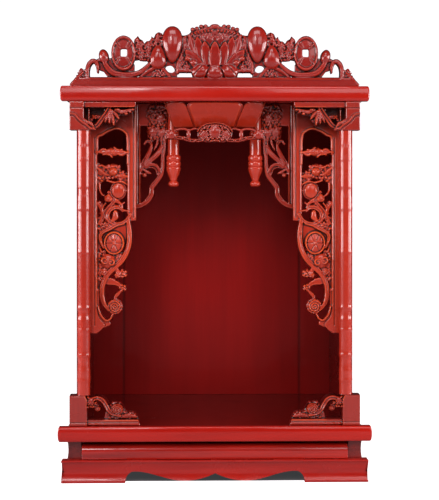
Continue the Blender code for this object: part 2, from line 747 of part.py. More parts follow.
CAPITAL_UNITS = (65.9, 28.8)
CAPITAL_BRACKET = [
    Plate([(0, 0), (0, 28.8), (14.2, 28.8), (14.2, 12.2), (18.0, 9.6), (22.0, 8.4), (24.4, 3.4),
           (26.0, 0)], 24),
    Plate([(0, 22.9), (0, 28.8), (65.9, 28.8), (65.5, 24.8), (63.8, 22.9)], 20),
    Stroke([(18.6, 24), (18.6, 8)], [1.0, 1.0], 12, 8),
    Stroke([(20, 8), (23.6, 13.2), (28.0, 13.4), (33, 13.2)], [1.4, 2.4, 1.6], 13, 8),
    Stroke([(17.5, 6.0), (22.0, 3.4), (26.8, 5.0), (31.4, 10.6), (35.4, 16.2), (39.4, 23.0)],
           [1.8, 2.6, 3.0, 2.8, 2.2], 19, 8),
    Plate([(36, 24), (33.9, 15), (32.6, 8.0), (36.2, 8.8), (39, 6.6), (41.4, 7.4), (43.5, 4.2),
           (46.0, 8.0), (49.6, 11.6), (49.4, 14.6), (52.0, 15.2), (55.7, 14.6), (59.0, 16.8),
           (62.4, 18.6), (65.2, 24)], 10, True),
    Dome((40.2, 13.4), (5.2, 7.4), 18, 9),
    Stroke([(45.5, 20.5), (52, 18.8), (60.5, 20.8)], [1.8, 2.2, 1.2], 16, 10),
]


def build_brackets():
    back = BRACKET_FRONT + BRACKET_THICK
    kinds = (("base_bracket_", BASE_BRACKET, BASE_UNITS, BASE_BRACKET_LONG, BASE_BRACKET_TALL, Z_NICHE),
             ("capital_bracket_", CAPITAL_BRACKET, CAPITAL_UNITS, CAPITAL_LONG, CAPITAL_TALL, Z_CAPITAL))
    for side, word in ((-1, "left"), (1, "right")):
        for name, forms, (wide, tall), length, height, foot in kinds:
            place = board_place(side, BRACKET_OUTER, -length / wide, height / tall, foot, back)
            carve(name + word, forms, (0, wide, 0, tall), place, 0.22, 1.9)


# Side panels: a tall arched frame full of scrolls, balls and blossoms, ending in a curled foot.
# Drawing units run out from the inner stile and up from the foot.

PANEL_UNITS = (55.2, 231.2)
SIDE_PANEL = [
    Plate([(0, 113), (0, 231.2), (55.2, 231.2), (55.2, 0), (38.6, 0), (38.6, 196), (37.3, 197.2),
           (33.8, 198.7), (29.8, 200.5), (26.8, 202.9), (22.8, 204.9), (18.8, 205.1), (14.8, 203.9),
           (11.3, 201.5), (9.2, 198.5), (8.7, 195), (8.7, 119.5), (9.8, 115.5), (12.8, 112)], 8),
    Stroke([(38.6, 180), (38.4, 195.5), (33.8, 198.7), (26.8, 202.9), (18.8, 205.1), (11.3, 201.5),
            (8.7, 195), (8.5, 170)], [1.2, 1.2], 11, 8),
    Stroke([(40, 181.4), (32, 181.4), (23.4, 181.5), (15, 181.4), (7.5, 181.4)],
           [0.9, 3.2, 5.2, 3.2, 0.9], 12, 5),
    Plate([(39.5, 169.5), (35.8, 170), (31.8, 166.5), (26.8, 167.5), (24.8, 170), (18.8, 169),
           (15.8, 165), (13.8, 161.5), (7.5, 160.5), (7.5, 152.5), (13.8, 151), (17.8, 153.5),
           (22.3, 155.5), (27.8, 155), (32.3, 152.5), (35.8, 148), (39.5, 146.5)], 6.5, True),
    Dome((22.9, 162.0), (4.2, 4.2), 14, 6),
    Stroke([(38.8, 166), (34, 161.5), (29, 158.5)], [1.0, 2.4, 1.0], 11, 6),
    Stroke([(8.4, 157), (13, 157.5), (18.5, 158)], [1.0, 2.2, 1.0], 11, 6),
    Stroke([(22, 167.5), (29, 166), (34.5, 168.5)], [1.0, 1.6, 1.0], 10, 6),
    Stroke([(36.4, 150), (36.2, 143.5), (33.8, 139.0), (29.8, 137.0)], [1.4, 1.2, 1.2], 9, 5),
    Stroke([(29, 153), (21, 151), (14.5, 152), (9, 149)], [1.3, 1.6, 1.4, 1.0], 10, 5),
    Dome((17.8, 143.0), (8.2, 9.2), 12, 6),
    Stroke([(10.5, 143), (7.5, 143)], [1.2, 1.2], 8, 5),
    Dome((27.6, 135.2), (4.6, 4.4), 13, 6),
    Stroke([(27.3, 141.5), (23.8, 136.5), (21.2, 133.7), (25.3, 128.5), (30.4, 122.5), (34, 113)],
           [1.6, 2.0, 2.2, 2.0, 1.7], 10.5, 5),
    Stroke([(39.0, 131), (35.0, 125.5), (33.6, 118.5), (36.5, 110)], [1.6, 2.3, 1.8], 9.5, 5),
    Stroke([(13.3, 123.0), (16.8, 125.7), (21.8, 125.9), (26.3, 123.0), (28.3, 118.5), (27.3, 114.0),
            (23.3, 110.7), (18.3, 109.7), (13.3, 111.0), (9.3, 114.0), (6, 119)],
           [1.5, 2.3, 2.4, 2.3, 2.1, 1.8], 12, 5),
    Dome((20.6, 117.6), (3.6, 4.6), 12.5, 5, -20),
    Stroke([(30.4, 130.5), (33.5, 125.5), (32.8, 119.5), (29.3, 113.5), (23.8, 109)],
           [1.1, 1.3, 1.3], 10, 5),
    Stroke([(20.2, 134.5), (14.8, 129.5), (13.3, 124.0), (7.5, 122.5)], [1.3, 1.4, 1.2], 10, 5),
    Plate([(39.5, 118), (36, 113), (30, 111), (24, 108.5), (13, 112), (8, 112), (6, 107), (6, 100),
           (9, 93), (12, 86), (16, 83), (24, 81), (30, 82), (35, 86), (39.5, 86)], 5.5, True),
    Dome((29.3, 108.0), (6.2, 4.4), 11, 5, 20, 7, 0.2),
    Stroke([(12.8, 110.0), (19.8, 108.5), (26.3, 105.0), (32.8, 101.7), (35.8, 97.5), (35.0, 92.0),
            (32.3, 86)], [1.4, 1.9, 1.9, 1.8, 1.4], 11.5, 5),
    Dome((22.0, 90.6), (10.2, 11.4), 9, 8.5),
    Rim((22.0, 90.6), (9.2, 10.4), 1.1, 12.5, 8.5),
    Dome((22.0, 90.6), (7.2, 8.2), 12.5, 8.8),
    Plate([(39.5, 87), (34, 84), (31, 81), (26, 82), (14, 82), (9, 80), (13, 72), (21.8, 65),
           (27.8, 59), (32, 52), (35, 46), (39.5, 44)], 5.5, True),
    Dome((28.2, 72.5), (7.6, 7.4), 12.5, 6),
    Dome((32.4, 61.5), (3.8, 3.8), 11, 6),
    Stroke([(8.5, 114.5), (7.0, 107.5), (6.3, 99.5), (6.9, 89.5), (9.6, 80.5), (14.6, 72.5),
            (21.3, 66.0), (27.8, 59.5), (32.1, 52.0), (33.8, 43.5), (33.2, 35.0), (30.8, 28.5),
            (26.8, 24.0)], [2.2, 2.9, 3.0, 2.9, 2.7, 2.3], 12.5, 5),
    Stroke([(20.0, 66.0), (17.6, 60.5), (13.1, 59.9)], [2.4, 3.6, 2.6], 10, 4),
    Dome((13.1, 59.9), (4.9, 4.9), 11.5, 5, 0, 5, 0.16),
    Stroke([(33, 51.5), (27, 51.2), (19.8, 50.4), (13.6, 45.9)], [1.6, 3.2, 3.0, 1.8], 9.5, 4),
    Dome((13.4, 45.8), (4.3, 4.3), 11.5, 5, 0, 5, 0.16),
    Stroke([(13.3, 44.5), (17.3, 40.5), (20.6, 36.5), (20.9, 30)], [1.1, 2.3, 1.3], 9, 4),
    Dome((21.3, 27.0), (8.1, 8.1), 13, 5),
    Plate([(39.5, 46), (36.5, 44), (37.0, 30), (37.3, 24.5), (35.6, 18.5), (30.3, 14), (25.8, 15.6),
           (23.9, 18.5), (22.5, 16), (25.9, 12.5), (25.6, 8.4), (31.3, 5.9), (33.8, 4.3),
           (37.9, 1.1), (42.2, 0)], 8),
    Stroke([(37.6, 27.0), (35.4, 19.4), (30.3, 13.4), (25.8, 14.8), (23.6, 19)], [1.2, 1.5, 1.2],
           11, 6),
]


def build_side_panels():
    wide, tall = PANEL_UNITS
    across = (NICHE_HALF - GAP - SIDE_PANEL_INNER) / wide
    foot = Z_UNDER_ROOF - SIDE_PANEL_TALL
    for side, word in ((-1, "left"), (1, "right")):
        place = board_place(side, SIDE_PANEL_INNER, across, SIDE_PANEL_TALL / tall, foot, PANEL_BACK)
        carve("side_panel_" + word, SIDE_PANEL, (0, wide, 0, tall), place, 0.36, 2.9)


# Spandrels, valance, pendants and canopy, hung under the roof board

SPANDREL_UNITS = (32.4, 106.4)
SPANDREL = [
    Plate([(0, 1.5), (0, 106.4), (15.2, 106.4), (15.2, 84), (5.9, 84), (5.9, 3)], 8),
    Plate([(12.6, 106.4), (32.4, 106.4), (32.4, 68), (31.2, 64.8), (27.2, 66.8), (22.2, 69.8),
           (16.7, 67.8), (12.8, 71.8), (11.6, 78.8), (13, 88), (11.8, 97)], 7),
    Stroke([(30, 104), (22, 99), (17.5, 91), (19, 84)], [1.6, 2.8, 2.4, 1.2], 10, 6),
    Dome((25.6, 92.0), (4.8, 5.2), 12, 7),
    Dome((18.0, 77.5), (5.0, 5.0), 12, 7),
    Dome((27.0, 76.5), (4.8, 5.0), 12, 7),
    Stroke([(9.5, 66.0), (11.9, 68.8), (14.9, 68.2), (16.4, 64.6), (14.8, 59.6), (12.0, 54.0),
            (8.7, 48.4), (5, 42)], [1.3, 1.8, 2.2, 2.0], 9.5, 4),
    Stroke([(27.0, 71.0), (27.6, 66.4), (26.0, 60.6), (22.0, 55.3), (16.0, 49.8), (10.0, 44.0),
            (5, 38.8)], [2.2, 3.0, 3.2, 2.8, 1.8], 11, 4),
    Stroke([(5, 38.2), (11.2, 42.4), (17.0, 43.6), (21.4, 41.0), (22.8, 36.8), (24.5, 32)],
           [1.8, 2.2, 2.0, 1.6], 9.5, 4),
    Stroke([(4, 37.3), (9.4, 34.8)], [1.6, 1.6], 8.5, 4),
    Dome((9.6, 34.6), (2.9, 2.9), 12, 4),
    Stroke([(29.4, 74.0), (29.0, 62.0), (27.8, 52.0), (27.6, 43.5), (26.0, 35.0), (21.0, 27.8),
            (16.8, 22.0), (16.2, 15.0), (12.0, 8.6), (6.5, 4.8), (1.0, 3.0)],
           [2.0, 2.4, 2.8, 3.1, 2.6], 11, 5),
]

VALANCE_UNITS = (49.8, 20.9)
VALANCE = [
    Plate([(-1, 0), (8.9, 0.3), (14, 1.6), (17.4, 6), (17.6, 10), (17.4, 13.4), (14.3, 16.6),
           (8.9, 19.6), (4.5, 20.6), (-1, 20.9)], 7),
    Stroke([(13, 2.4), (19.6, 2.2), (24.8, 2.6), (31, 4.4), (37.5, 5.0), (44, 5.6), (49.5, 7.0)],
           [1.9, 2.1, 2.2, 2.0, 1.8], 8.5, 5),
    Stroke([(16.5, 13.4), (20.5, 13.9), (26, 12.4), (30.5, 13.6), (36, 13.4), (41, 11.6), (44.5, 8.5)],
           [0.9, 1.4, 1.4, 1.2], 8, 5),
    Dome((26.2, 8.4), (2.5, 5.0), 9, 5),
    Plate([(38.5, 3.6), (37.4, 8.5), (40.5, 12.6), (49.8, 13.6), (49.8, 3.8), (44, 2.8)], 8),
    Dome((43.6, 8.0), (5.2, 4.6), 12, 7),
    Dome((0, 11.0), (6.4, 6.8), 12, 7),
    Dome((11.3, 8.4), (4.0, 4.6), 11, 7),
    Stroke([(0, 18.4), (8, 16.8), (14.5, 12.6)], [1.2, 1.6, 1.2], 10, 7),
]


def build_hangings():
    wide, tall = SPANDREL_UNITS
    across = -(SPANDREL_OUTER - (PENDANT_AT + PENDANT_SHAFT + GAP)) / wide
    foot = Z_UNDER_ROOF - SPANDREL_TALL
    back = PENDANT_Y + SPANDREL_THICK / 2
    for side, word in ((-1, "left"), (1, "right")):
        place = board_place(side, SPANDREL_OUTER, across, SPANDREL_TALL / tall, foot, back)
        carve("spandrel_" + word, SPANDREL, (0, wide, 0, tall), place, 0.34, 2.6)
        build_pendant("pendant_" + word, side * PENDANT_AT)
    half, tall = VALANCE_UNITS
    foot = Z_UNDER_ROOF - VALANCE_DROP
    back = canopy_front(foot + VALANCE_TALL) - GAP
    place = board_place(1, 0, VALANCE_WIDE / 2 / half, VALANCE_TALL / tall, foot, back)
    carve("valance", VALANCE, (-half, half, 0, tall), place, 0.22, 1.9, half_drawn=True)
    build_canopy()


def build_pendant(name, x):
    """A turned pendant: tip, bulb and three rings under a plain shaft, from the tip up."""
    low = Z_UNDER_ROOF - PENDANT_DROP
    turned = ((0.0, 0.30), (0.8, 0.58), (3.0, 0.71), (6.0, 0.71), (8.4, 0.55), (9.2, 0.42),
              (11.4, 0.50), (13.0, 0.54), (20.0, 0.80), (26.0, 0.95), (30.0, 1.0), (31.2, 0.90),
              (32.4, 0.97), (36.0, 0.97), (39.2, 0.97), (40.2, 0.88), (41.2, 0.97), (48.6, 0.94))
    profile = [(PENDANT_BULB * r, low + z * MM) for z, r in turned]
    profile.append((PENDANT_SHAFT, low + 49.8 * MM))
    profile.append((PENDANT_SHAFT, Z_UNDER_ROOF))
    lathe(name, (x, PENDANT_Y), profile, 10)


def canopy_front(z):
    """Depth of the middle board's front face at a height."""
    share = (Z_UNDER_ROOF - z) / CANOPY_TALL
    deep = CANOPY_TOP[0][1] + (CANOPY_LOW[0][1] - CANOPY_TOP[0][1]) * share
    return SLAB_FRONT + deep


def build_canopy():
    """Three leaning boards, mitred at their joints."""
    def corner(spot, inner, z):
        x, deep = spot
        return Vector((x, SLAB_FRONT + deep + (CANOPY_THICK if inner else 0), z))

    top, low = Z_UNDER_ROOF, Z_UNDER_ROOF - CANOPY_TALL
    rings = []
    for inner in (False, True):
        a, b = corner(CANOPY_TOP[0], inner, top), corner(CANOPY_LOW[0], inner, low)
        rings.append([Vector((-a.x, a.y, a.z)), a, b, Vector((-b.x, b.y, b.z))])
    loft("canopy_centre", rings)
    for side, word in ((-1, "left"), (1, "right")):
        rings = []
        for inner in (False, True):
            ring = []
            for (spot, z) in ((CANOPY_TOP[0], top), (CANOPY_TOP[1], top), (CANOPY_LOW[1], low),
                              (CANOPY_LOW[0], low)):
                p = corner(spot, inner, z)
                if spot in (CANOPY_TOP[0], CANOPY_LOW[0]):
                    p.x += GAP
                ring.append(Vector((side * p.x, p.y, p.z)))
            rings.append(ring)
        loft("canopy_" + word, rings)


# Crest: an openwork board on the roof, a lotus in the middle, drawn as its right half from the middle

CREST_UNITS = (146.1, 63.4)
CREST_LOW = 2.2
CREST = [
    Plate([(-1, -3.2), (146.1, -3.2), (146.1, 0.4), (140, 6.5), (127, 7.3), (-1, 7.3)], 12),
    Plate([(127.2, 0), (146.1, 0), (146.1, 0.6), (139.7, 7.9), (139.9, 9.3), (136.9, 9.9),
           (135.6, 11.5), (136.6, 14.3), (135.9, 16.1), (134.2, 16.5), (132.2, 14.7), (129.8, 15.3),
           (126.2, 12)], 9),
    Stroke([(128.0, 5.0), (128.4, 13.8), (126.9, 19.8), (123.4, 23.4), (119.9, 22.2), (118.2, 17.8),
            (118.0, 12.0)], [2.0, 2.4, 2.6, 2.5, 2.0, 0.9], 13, 6),
    Plate([(108.5, 6), (109, 8.5), (112.3, 12.9), (116.2, 14.2), (119, 20), (117, 25), (104, 27),
           (84, 24), (81, 20), (81, 12), (84, 8), (88, 6)], 6),
    Dome((112.0, 28.2), (5.0, 7.4), 14, 6, -12),
    Stroke([(121, 22), (117, 24.5), (112, 23)], [1.2, 1.8, 1.4], 9, 6),
    Dome((92.1, 31.6), (12.2, 17.0), 8.5, 8),
    Rim((92.1, 31.6), (11.2, 16.0), 1.2, 11.5, 8),
    Stroke([(99.5, 42), (96.2, 37.5)], [2.0, 1.2], 10.5, 8),
    Stroke([(84.9, 42), (88.2, 37.5)], [2.0, 1.2], 10.5, 8),
    Stroke([(99.5, 21.5), (96.2, 26)], [2.0, 1.2], 10.5, 8),
    Stroke([(84.9, 21.5), (88.2, 26)], [2.0, 1.2], 10.5, 8),
    Hole(Plate([(88.7, 29.5), (89.6, 28.2), (94.3, 28.2), (95.2, 29.5), (95.2, 34.8), (94.3, 36.0),
                (89.6, 36.0), (88.7, 34.8)], 0)),
    Stroke([(112.4, 28.8), (111.6, 23.3), (107.7, 16.3), (101.7, 11.3), (93.2, 9.7), (84.2, 9.7),
            (76.2, 11.9), (70.2, 16.3), (65.0, 21.5)], [1.4, 2.7, 3.1, 3.0, 2.6, 1.8], 13, 6),
    Plate([(82, 24), (81.7, 40.3), (81.6, 44.3), (79.7, 46.8), (77.8, 49.3), (75.6, 46.0),
           (73.0, 44.7), (71.2, 41.5), (69.2, 43.7), (65.7, 44.3), (64.6, 40.3), (64.2, 49.0),
           (61.8, 46.9), (59.9, 51.3), (56.6, 53.1), (53.2, 51.7), (51.2, 44.3), (45, 40),
           (38, 26), (38, 5), (76, 5), (72, 14), (67, 20), (68, 23.5), (72.2, 24.2), (77.2, 24.8)], 7),
    Stroke([(78, 46), (75.5, 38), (72, 31)], [1.2, 2.6, 1.2], 11, 7),
    Stroke([(67.5, 42.5), (66.5, 35), (67, 28)], [1.2, 2.4, 1.2], 11, 7),
    Stroke([(57.5, 51), (58.5, 44.5), (62, 39)], [1.4, 2.6, 1.2], 11, 7),
    Stroke([(57.4, 23.4), (57.2, 29.5), (56.8, 36.0)], [8.4, 7.0, 2.8], 17, 8),
    Hole(Plate([(40.5, 14.5), (43.5, 19), (48.5, 18.6), (50, 15.5), (47, 12.8), (43, 12.2)], 0, True)),
    Stroke([(76.2, 6.3), (71.2, 10.8), (66.2, 14.3), (60.2, 16.8), (53.2, 16.3), (48.4, 11.5),
            (44.2, 5.8)], [1.4, 1.9, 1.9, 1.5], 11, 6),
    Stroke([(43.4, 51.2), (43.4, 46.5), (43.2, 38.0), (42.6, 28.4)], [7.4, 10.6, 8.8, 5.6], 18, 9),
    Plate([(-1, 6), (22.5, 6), (23.5, 11.8), (35.8, 11.8), (40.5, 12), (39.5, 18), (39.0, 24),
           (35.5, 36), (33.7, 49.6), (24.5, 49.8), (24.2, 56.0), (15.2, 55.8), (14.6, 58.5),
           (5.6, 58.7), (3.8, 60.3), (-1, 61.2)], 8),
    Stroke([(37.5, 12), (37.0, 20), (33.5, 30)], [1.6, 2.4, 1.2], 12, 7),
    Stroke([(22, 13), (29, 14.5), (36, 13.5)], [1.6, 2.2, 1.4], 12, 7),
    Stroke([(0, 57.4), (9, 56.4), (19.5, 53)], [1.5, 1.5, 1.3], 11, 8),
    Stroke([(31.0, 46.5), (29.6, 38), (26.5, 31)], [2.2, 3.2, 2.0], 11.5, 8),
    Stroke([(25.4, 49.0), (24.0, 40), (21.0, 31), (17.5, 25.5)], [1.8, 4.2, 4.0, 2.4], 13, 8),
    Stroke([(19.2, 49.4), (17.6, 42.0), (15.4, 33), (12.5, 24.5)], [1.0, 3.6, 4.2, 2.8], 15, 8),
    Stroke([(11.4, 44.2), (10.2, 37.5), (8.6, 31), (6.5, 23)], [0.9, 3.7, 4.1, 3.0], 16.5, 8),
    Stroke([(0, 43.2), (0, 36.5), (0, 30), (0, 22)], [0.8, 4.3, 5.5, 4.2], 18, 9),
    Stroke([(30.5, 32.5), (27.4, 26.2), (21.6, 22.0), (14.4, 23.4)], [1.6, 4.2, 4.7, 2.6], 16.5, 8),
    Dome((13.4, 15.2), (8.6, 6.2), 16, 8, -14),
    Stroke([(0, 20.2), (0, 14.4)], [4.0, 7.6], 18.5, 9),
]


def build_crest():
    reach, tall = CREST_UNITS
    unit = CREST_TALL / tall
    back = ROOF_FRONT + CREST_SET_BACK + CREST_THICK
    place = board_place(1, 0, unit, unit, Z_CREST + CREST_LOW * unit, back)
    carve("crest", CREST, (-reach, reach, -CREST_LOW, tall - CREST_LOW), place, 0.26, 2.8,
          half_drawn=True)


clear_scene()
build_base()
build_drawer()
build_niche()
build_brackets()
build_side_panels()
build_hangings()
build_crest()
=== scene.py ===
import math
from collections import deque

import bmesh
import bpy
import numpy as np
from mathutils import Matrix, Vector
from mathutils.geometry import delaunay_2d_cdt


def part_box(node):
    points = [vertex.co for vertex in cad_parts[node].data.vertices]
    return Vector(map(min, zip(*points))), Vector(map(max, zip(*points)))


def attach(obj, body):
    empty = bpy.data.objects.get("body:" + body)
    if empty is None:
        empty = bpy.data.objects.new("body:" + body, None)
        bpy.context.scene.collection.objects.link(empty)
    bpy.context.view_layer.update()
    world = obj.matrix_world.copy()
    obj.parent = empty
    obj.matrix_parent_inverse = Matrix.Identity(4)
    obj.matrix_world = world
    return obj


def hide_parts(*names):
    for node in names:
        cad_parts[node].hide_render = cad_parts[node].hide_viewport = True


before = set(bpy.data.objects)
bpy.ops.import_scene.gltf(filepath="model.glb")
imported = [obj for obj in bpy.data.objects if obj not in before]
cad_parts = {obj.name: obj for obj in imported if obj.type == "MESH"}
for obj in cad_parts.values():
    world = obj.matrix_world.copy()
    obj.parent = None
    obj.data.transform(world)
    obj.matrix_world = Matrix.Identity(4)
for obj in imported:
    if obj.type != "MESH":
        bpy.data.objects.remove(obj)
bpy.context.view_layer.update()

MM = 0.001

# Camera: at the photograph's height and distance, a little to the left and turned back by as much.
# The lens shift keeps the horizon high in the frame and the uprights upright.

VIEW_BACK = 1.90          # from the base slab's front edge
VIEW_HIGH = 0.444
VIEW_LEFT = 0.040
VIEW_TURN = math.radians(-1.2)
VIEW_LENS = 89.8
VIEW_SHIFT = (0.0088, -0.1155)

slab_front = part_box("base_slab")[0][1]
lens = bpy.data.cameras.new("studio_camera")
lens.lens = VIEW_LENS
lens.shift_x, lens.shift_y = VIEW_SHIFT
camera = bpy.data.objects.new("studio_camera", lens)
camera.location = (-VIEW_LEFT, slab_front - VIEW_BACK, VIEW_HIGH)
camera.rotation_euler = (math.radians(90), 0, VIEW_TURN)
bpy.context.scene.collection.objects.link(camera)
bpy.context.scene.camera = camera


# Floor and light: white paper and white surroundings, both overlit as in a studio picture. Under the
# cabinet the paper is painted darker as a painted shadow, with a faint glow as painted bounced light.
# Softboxes stand overhead, in front and on both sides. The one that fills from the front isn't
# mirrored in the lacquer.

SEEN_WHITE = 1.1
ROOM_GLOW = 0.03
UNDER_PAINTED_GLOW = 0.045
UNDER_SIDE, UNDER_FRONT, UNDER_BACK = 190 * MM, -146 * MM, 140 * MM

floor_mesh = bpy.data.meshes.new("floor")
floor_mesh.from_pydata([(-6, -4, 0), (6, -4, 0), (6, 9, 0), (-6, 9, 0),
                        (-UNDER_SIDE, UNDER_FRONT, 0), (UNDER_SIDE, UNDER_FRONT, 0),
                        (UNDER_SIDE, UNDER_BACK, 0), (-UNDER_SIDE, UNDER_BACK, 0)], [],
                       [(0, 1, 5, 4), (1, 2, 6, 5), (2, 3, 7, 6), (3, 0, 4, 7), (4, 5, 6, 7)])
floor = bpy.data.objects.new("floor", floor_mesh)
bpy.context.scene.collection.objects.link(floor)


def lay_paper(name, colour, glow):
    """Matt paper on the floor that glows by itself."""
    paper = bpy.data.materials.new(name)
    paper.use_nodes = True
    sheet = paper.node_tree.nodes["Principled BSDF"]
    sheet.inputs["Base Color"].default_value = colour
    sheet.inputs["Roughness"].default_value = 0.9
    sheet.inputs["Emission Color"].default_value = glow
    floor_mesh.materials.append(paper)
    return paper.node_tree, sheet.inputs["Emission Strength"]


tree, strength = lay_paper("white_paper", (0.42, 0.41, 0.43, 1.0), (1.0, 1.0, 1.0, 1.0))
seen = tree.nodes.new("ShaderNodeLightPath")
overlit = tree.nodes.new("ShaderNodeMath")
overlit.operation = "MULTIPLY"
overlit.inputs[1].default_value = SEEN_WHITE
tree.links.new(seen.outputs["Is Camera Ray"], overlit.inputs[0])
tree.links.new(overlit.outputs[0], strength)
# Painted shadow under the cabinet: dark paper with a faint glow of its own as painted bounced light.
tree, strength = lay_paper("paper_painted_shadow", (0.10, 0.09, 0.09, 1.0), (0.9, 0.95, 1.0, 1.0))
strength.default_value = UNDER_PAINTED_GLOW
floor_mesh.polygons[4].material_index = 1

sky = bpy.data.worlds.new("white_studio")
sky.use_nodes = True
glow = sky.node_tree.nodes["Background"]
glow.inputs["Color"].default_value = (1.0, 0.97, 1.0, 1.0)
seen = sky.node_tree.nodes.new("ShaderNodeLightPath")
overlit = sky.node_tree.nodes.new("ShaderNodeMapRange")
overlit.inputs["To Min"].default_value = ROOM_GLOW
overlit.inputs["To Max"].default_value = SEEN_WHITE
sky.node_tree.links.new(seen.outputs["Is Camera Ray"], overlit.inputs["Value"])
sky.node_tree.links.new(overlit.outputs["Result"], glow.inputs["Strength"])
bpy.context.scene.world = sky


def softbox(name, place, aim, wide, tall, power, mirrored=True, tint=(1.0, 0.96, 0.98)):
    """A rectangular light that faces a point, mirrored in gloss or not."""
    lamp = bpy.data.lights.new(name, "AREA")
    lamp.shape = "RECTANGLE"
    lamp.size = wide
    lamp.size_y = tall
    lamp.energy = power
    lamp.color = tint
    stand = bpy.data.objects.new(name, lamp)
    stand.visible_glossy = mirrored
    stand.location = place
    stand.rotation_euler = (Vector(aim) - Vector(place)).to_track_quat("-Z", "Y").to_euler()
    bpy.context.scene.collection.objects.link(stand)


softbox("key_softbox", (0, -1.7, 2.1), (0, -0.1, 0.35), 1.5, 0.6, 12)
softbox("fill_softbox", (0, -2.3, 1.7), (0, -0.1, 0.35), 1.5, 0.6, 20, False)
softbox("small_softbox", (-0.47, -2.3, 1.5), (0, -0.12, 0.35), 0.3, 0.5, 5)
for side, name in ((-1, "left"), (1, "right")):
    softbox(name + "_softbox", (side * 1.6, -1.1, 0.55), (0, -0.12, 0.4), 0.8, 0.6, 12)
    softbox(name + "_edge_softbox", (side * 1.7, -0.25, 0.55), (0, -0.12, 0.4), 0.7, 0.6, 17)
    softbox(name + "_front_softbox", (side * 0.90, -2.4, 1.3), (0, -0.12, 0.45), 1.1, 0.8, 7)
bpy.context.scene.view_settings.view_transform = "Standard"


# Plinth: four moulded boards with a hollowed face between two thin lips, mitred at the front.
# Wood under the same glossy red lacquer as the rest, the front board sawn into feet and lobes.

class Wire:
    """A value or colour in a material. Python's operators add Math nodes."""

    def __init__(self, finish, socket):
        self.finish = finish
        self.socket = socket

    def maths(self, operation, first, second):
        return self.finish.node("ShaderNodeMath", {"operation": operation}, {0: first, 1: second})

    def __add__(self, other):
        return self.maths("ADD", self, other)

    __radd__ = __add__

    def __mul__(self, other):
        return self.maths("MULTIPLY", self, other)

    __rmul__ = __mul__

    def __sub__(self, other):
        return self.maths("SUBTRACT", self, other)

    def __rsub__(self, other):
        return self.maths("SUBTRACT", other, self)

    def __truediv__(self, other):
        return self.maths("DIVIDE", self, other)


class Finish:
    """One material and its nodes."""

    def __init__(self, name):
        self.material = bpy.data.materials.new(name)
        self.material.use_nodes = True
        self.tree = self.material.node_tree
        self.surface = self.tree.nodes["Principled BSDF"]
        self.place = self.node("ShaderNodeTexCoord", out="Object")

    def node(self, kind, settings=None, sockets=None, out=0):
        made = self.tree.nodes.new(kind)
        for key, value in (settings or {}).items():
            if key == "stops":
                ramp = made.color_ramp
                for i, (at, colour) in enumerate(value):
                    stop = ramp.elements[i] if i < 2 else ramp.elements.new(at)
                    stop.position = at
                    stop.color = colour
            else:
                setattr(made, key, value)
        for key, value in (sockets or {}).items():
            self.join(value, made.inputs[key])
        return Wire(self, made.outputs[out])

    def join(self, value, socket):
        if isinstance(value, Wire):
            self.tree.links.new(value.socket, socket)
        else:
            socket.default_value = value

    def set(self, **sockets):
        for key, value in sockets.items():
            self.join(value, self.surface.inputs[key.replace("_", " ").title()])

    def mix(self, share, first, second):
        return self.node("ShaderNodeMix", {"data_type": "RGBA"}, {0: share, 6: first, 7: second}, 2)

    def clamp(self, value, low, high):
        """0 below low, 1 above high, even between."""
        return self.node("ShaderNodeMapRange", {}, {0: value, 1: low, 2: high, 3: 0.0, 4: 1.0})

    def noise(self, scale, detail=3.0, rough=0.5, place=None):
        return self.node("ShaderNodeTexNoise", {}, {"Vector": place or self.place, "Scale": scale,
                                                    "Detail": detail, "Roughness": rough})

    def stretched(self, scale):
        return self.node("ShaderNodeMapping", {}, {"Vector": self.place, "Scale": scale})


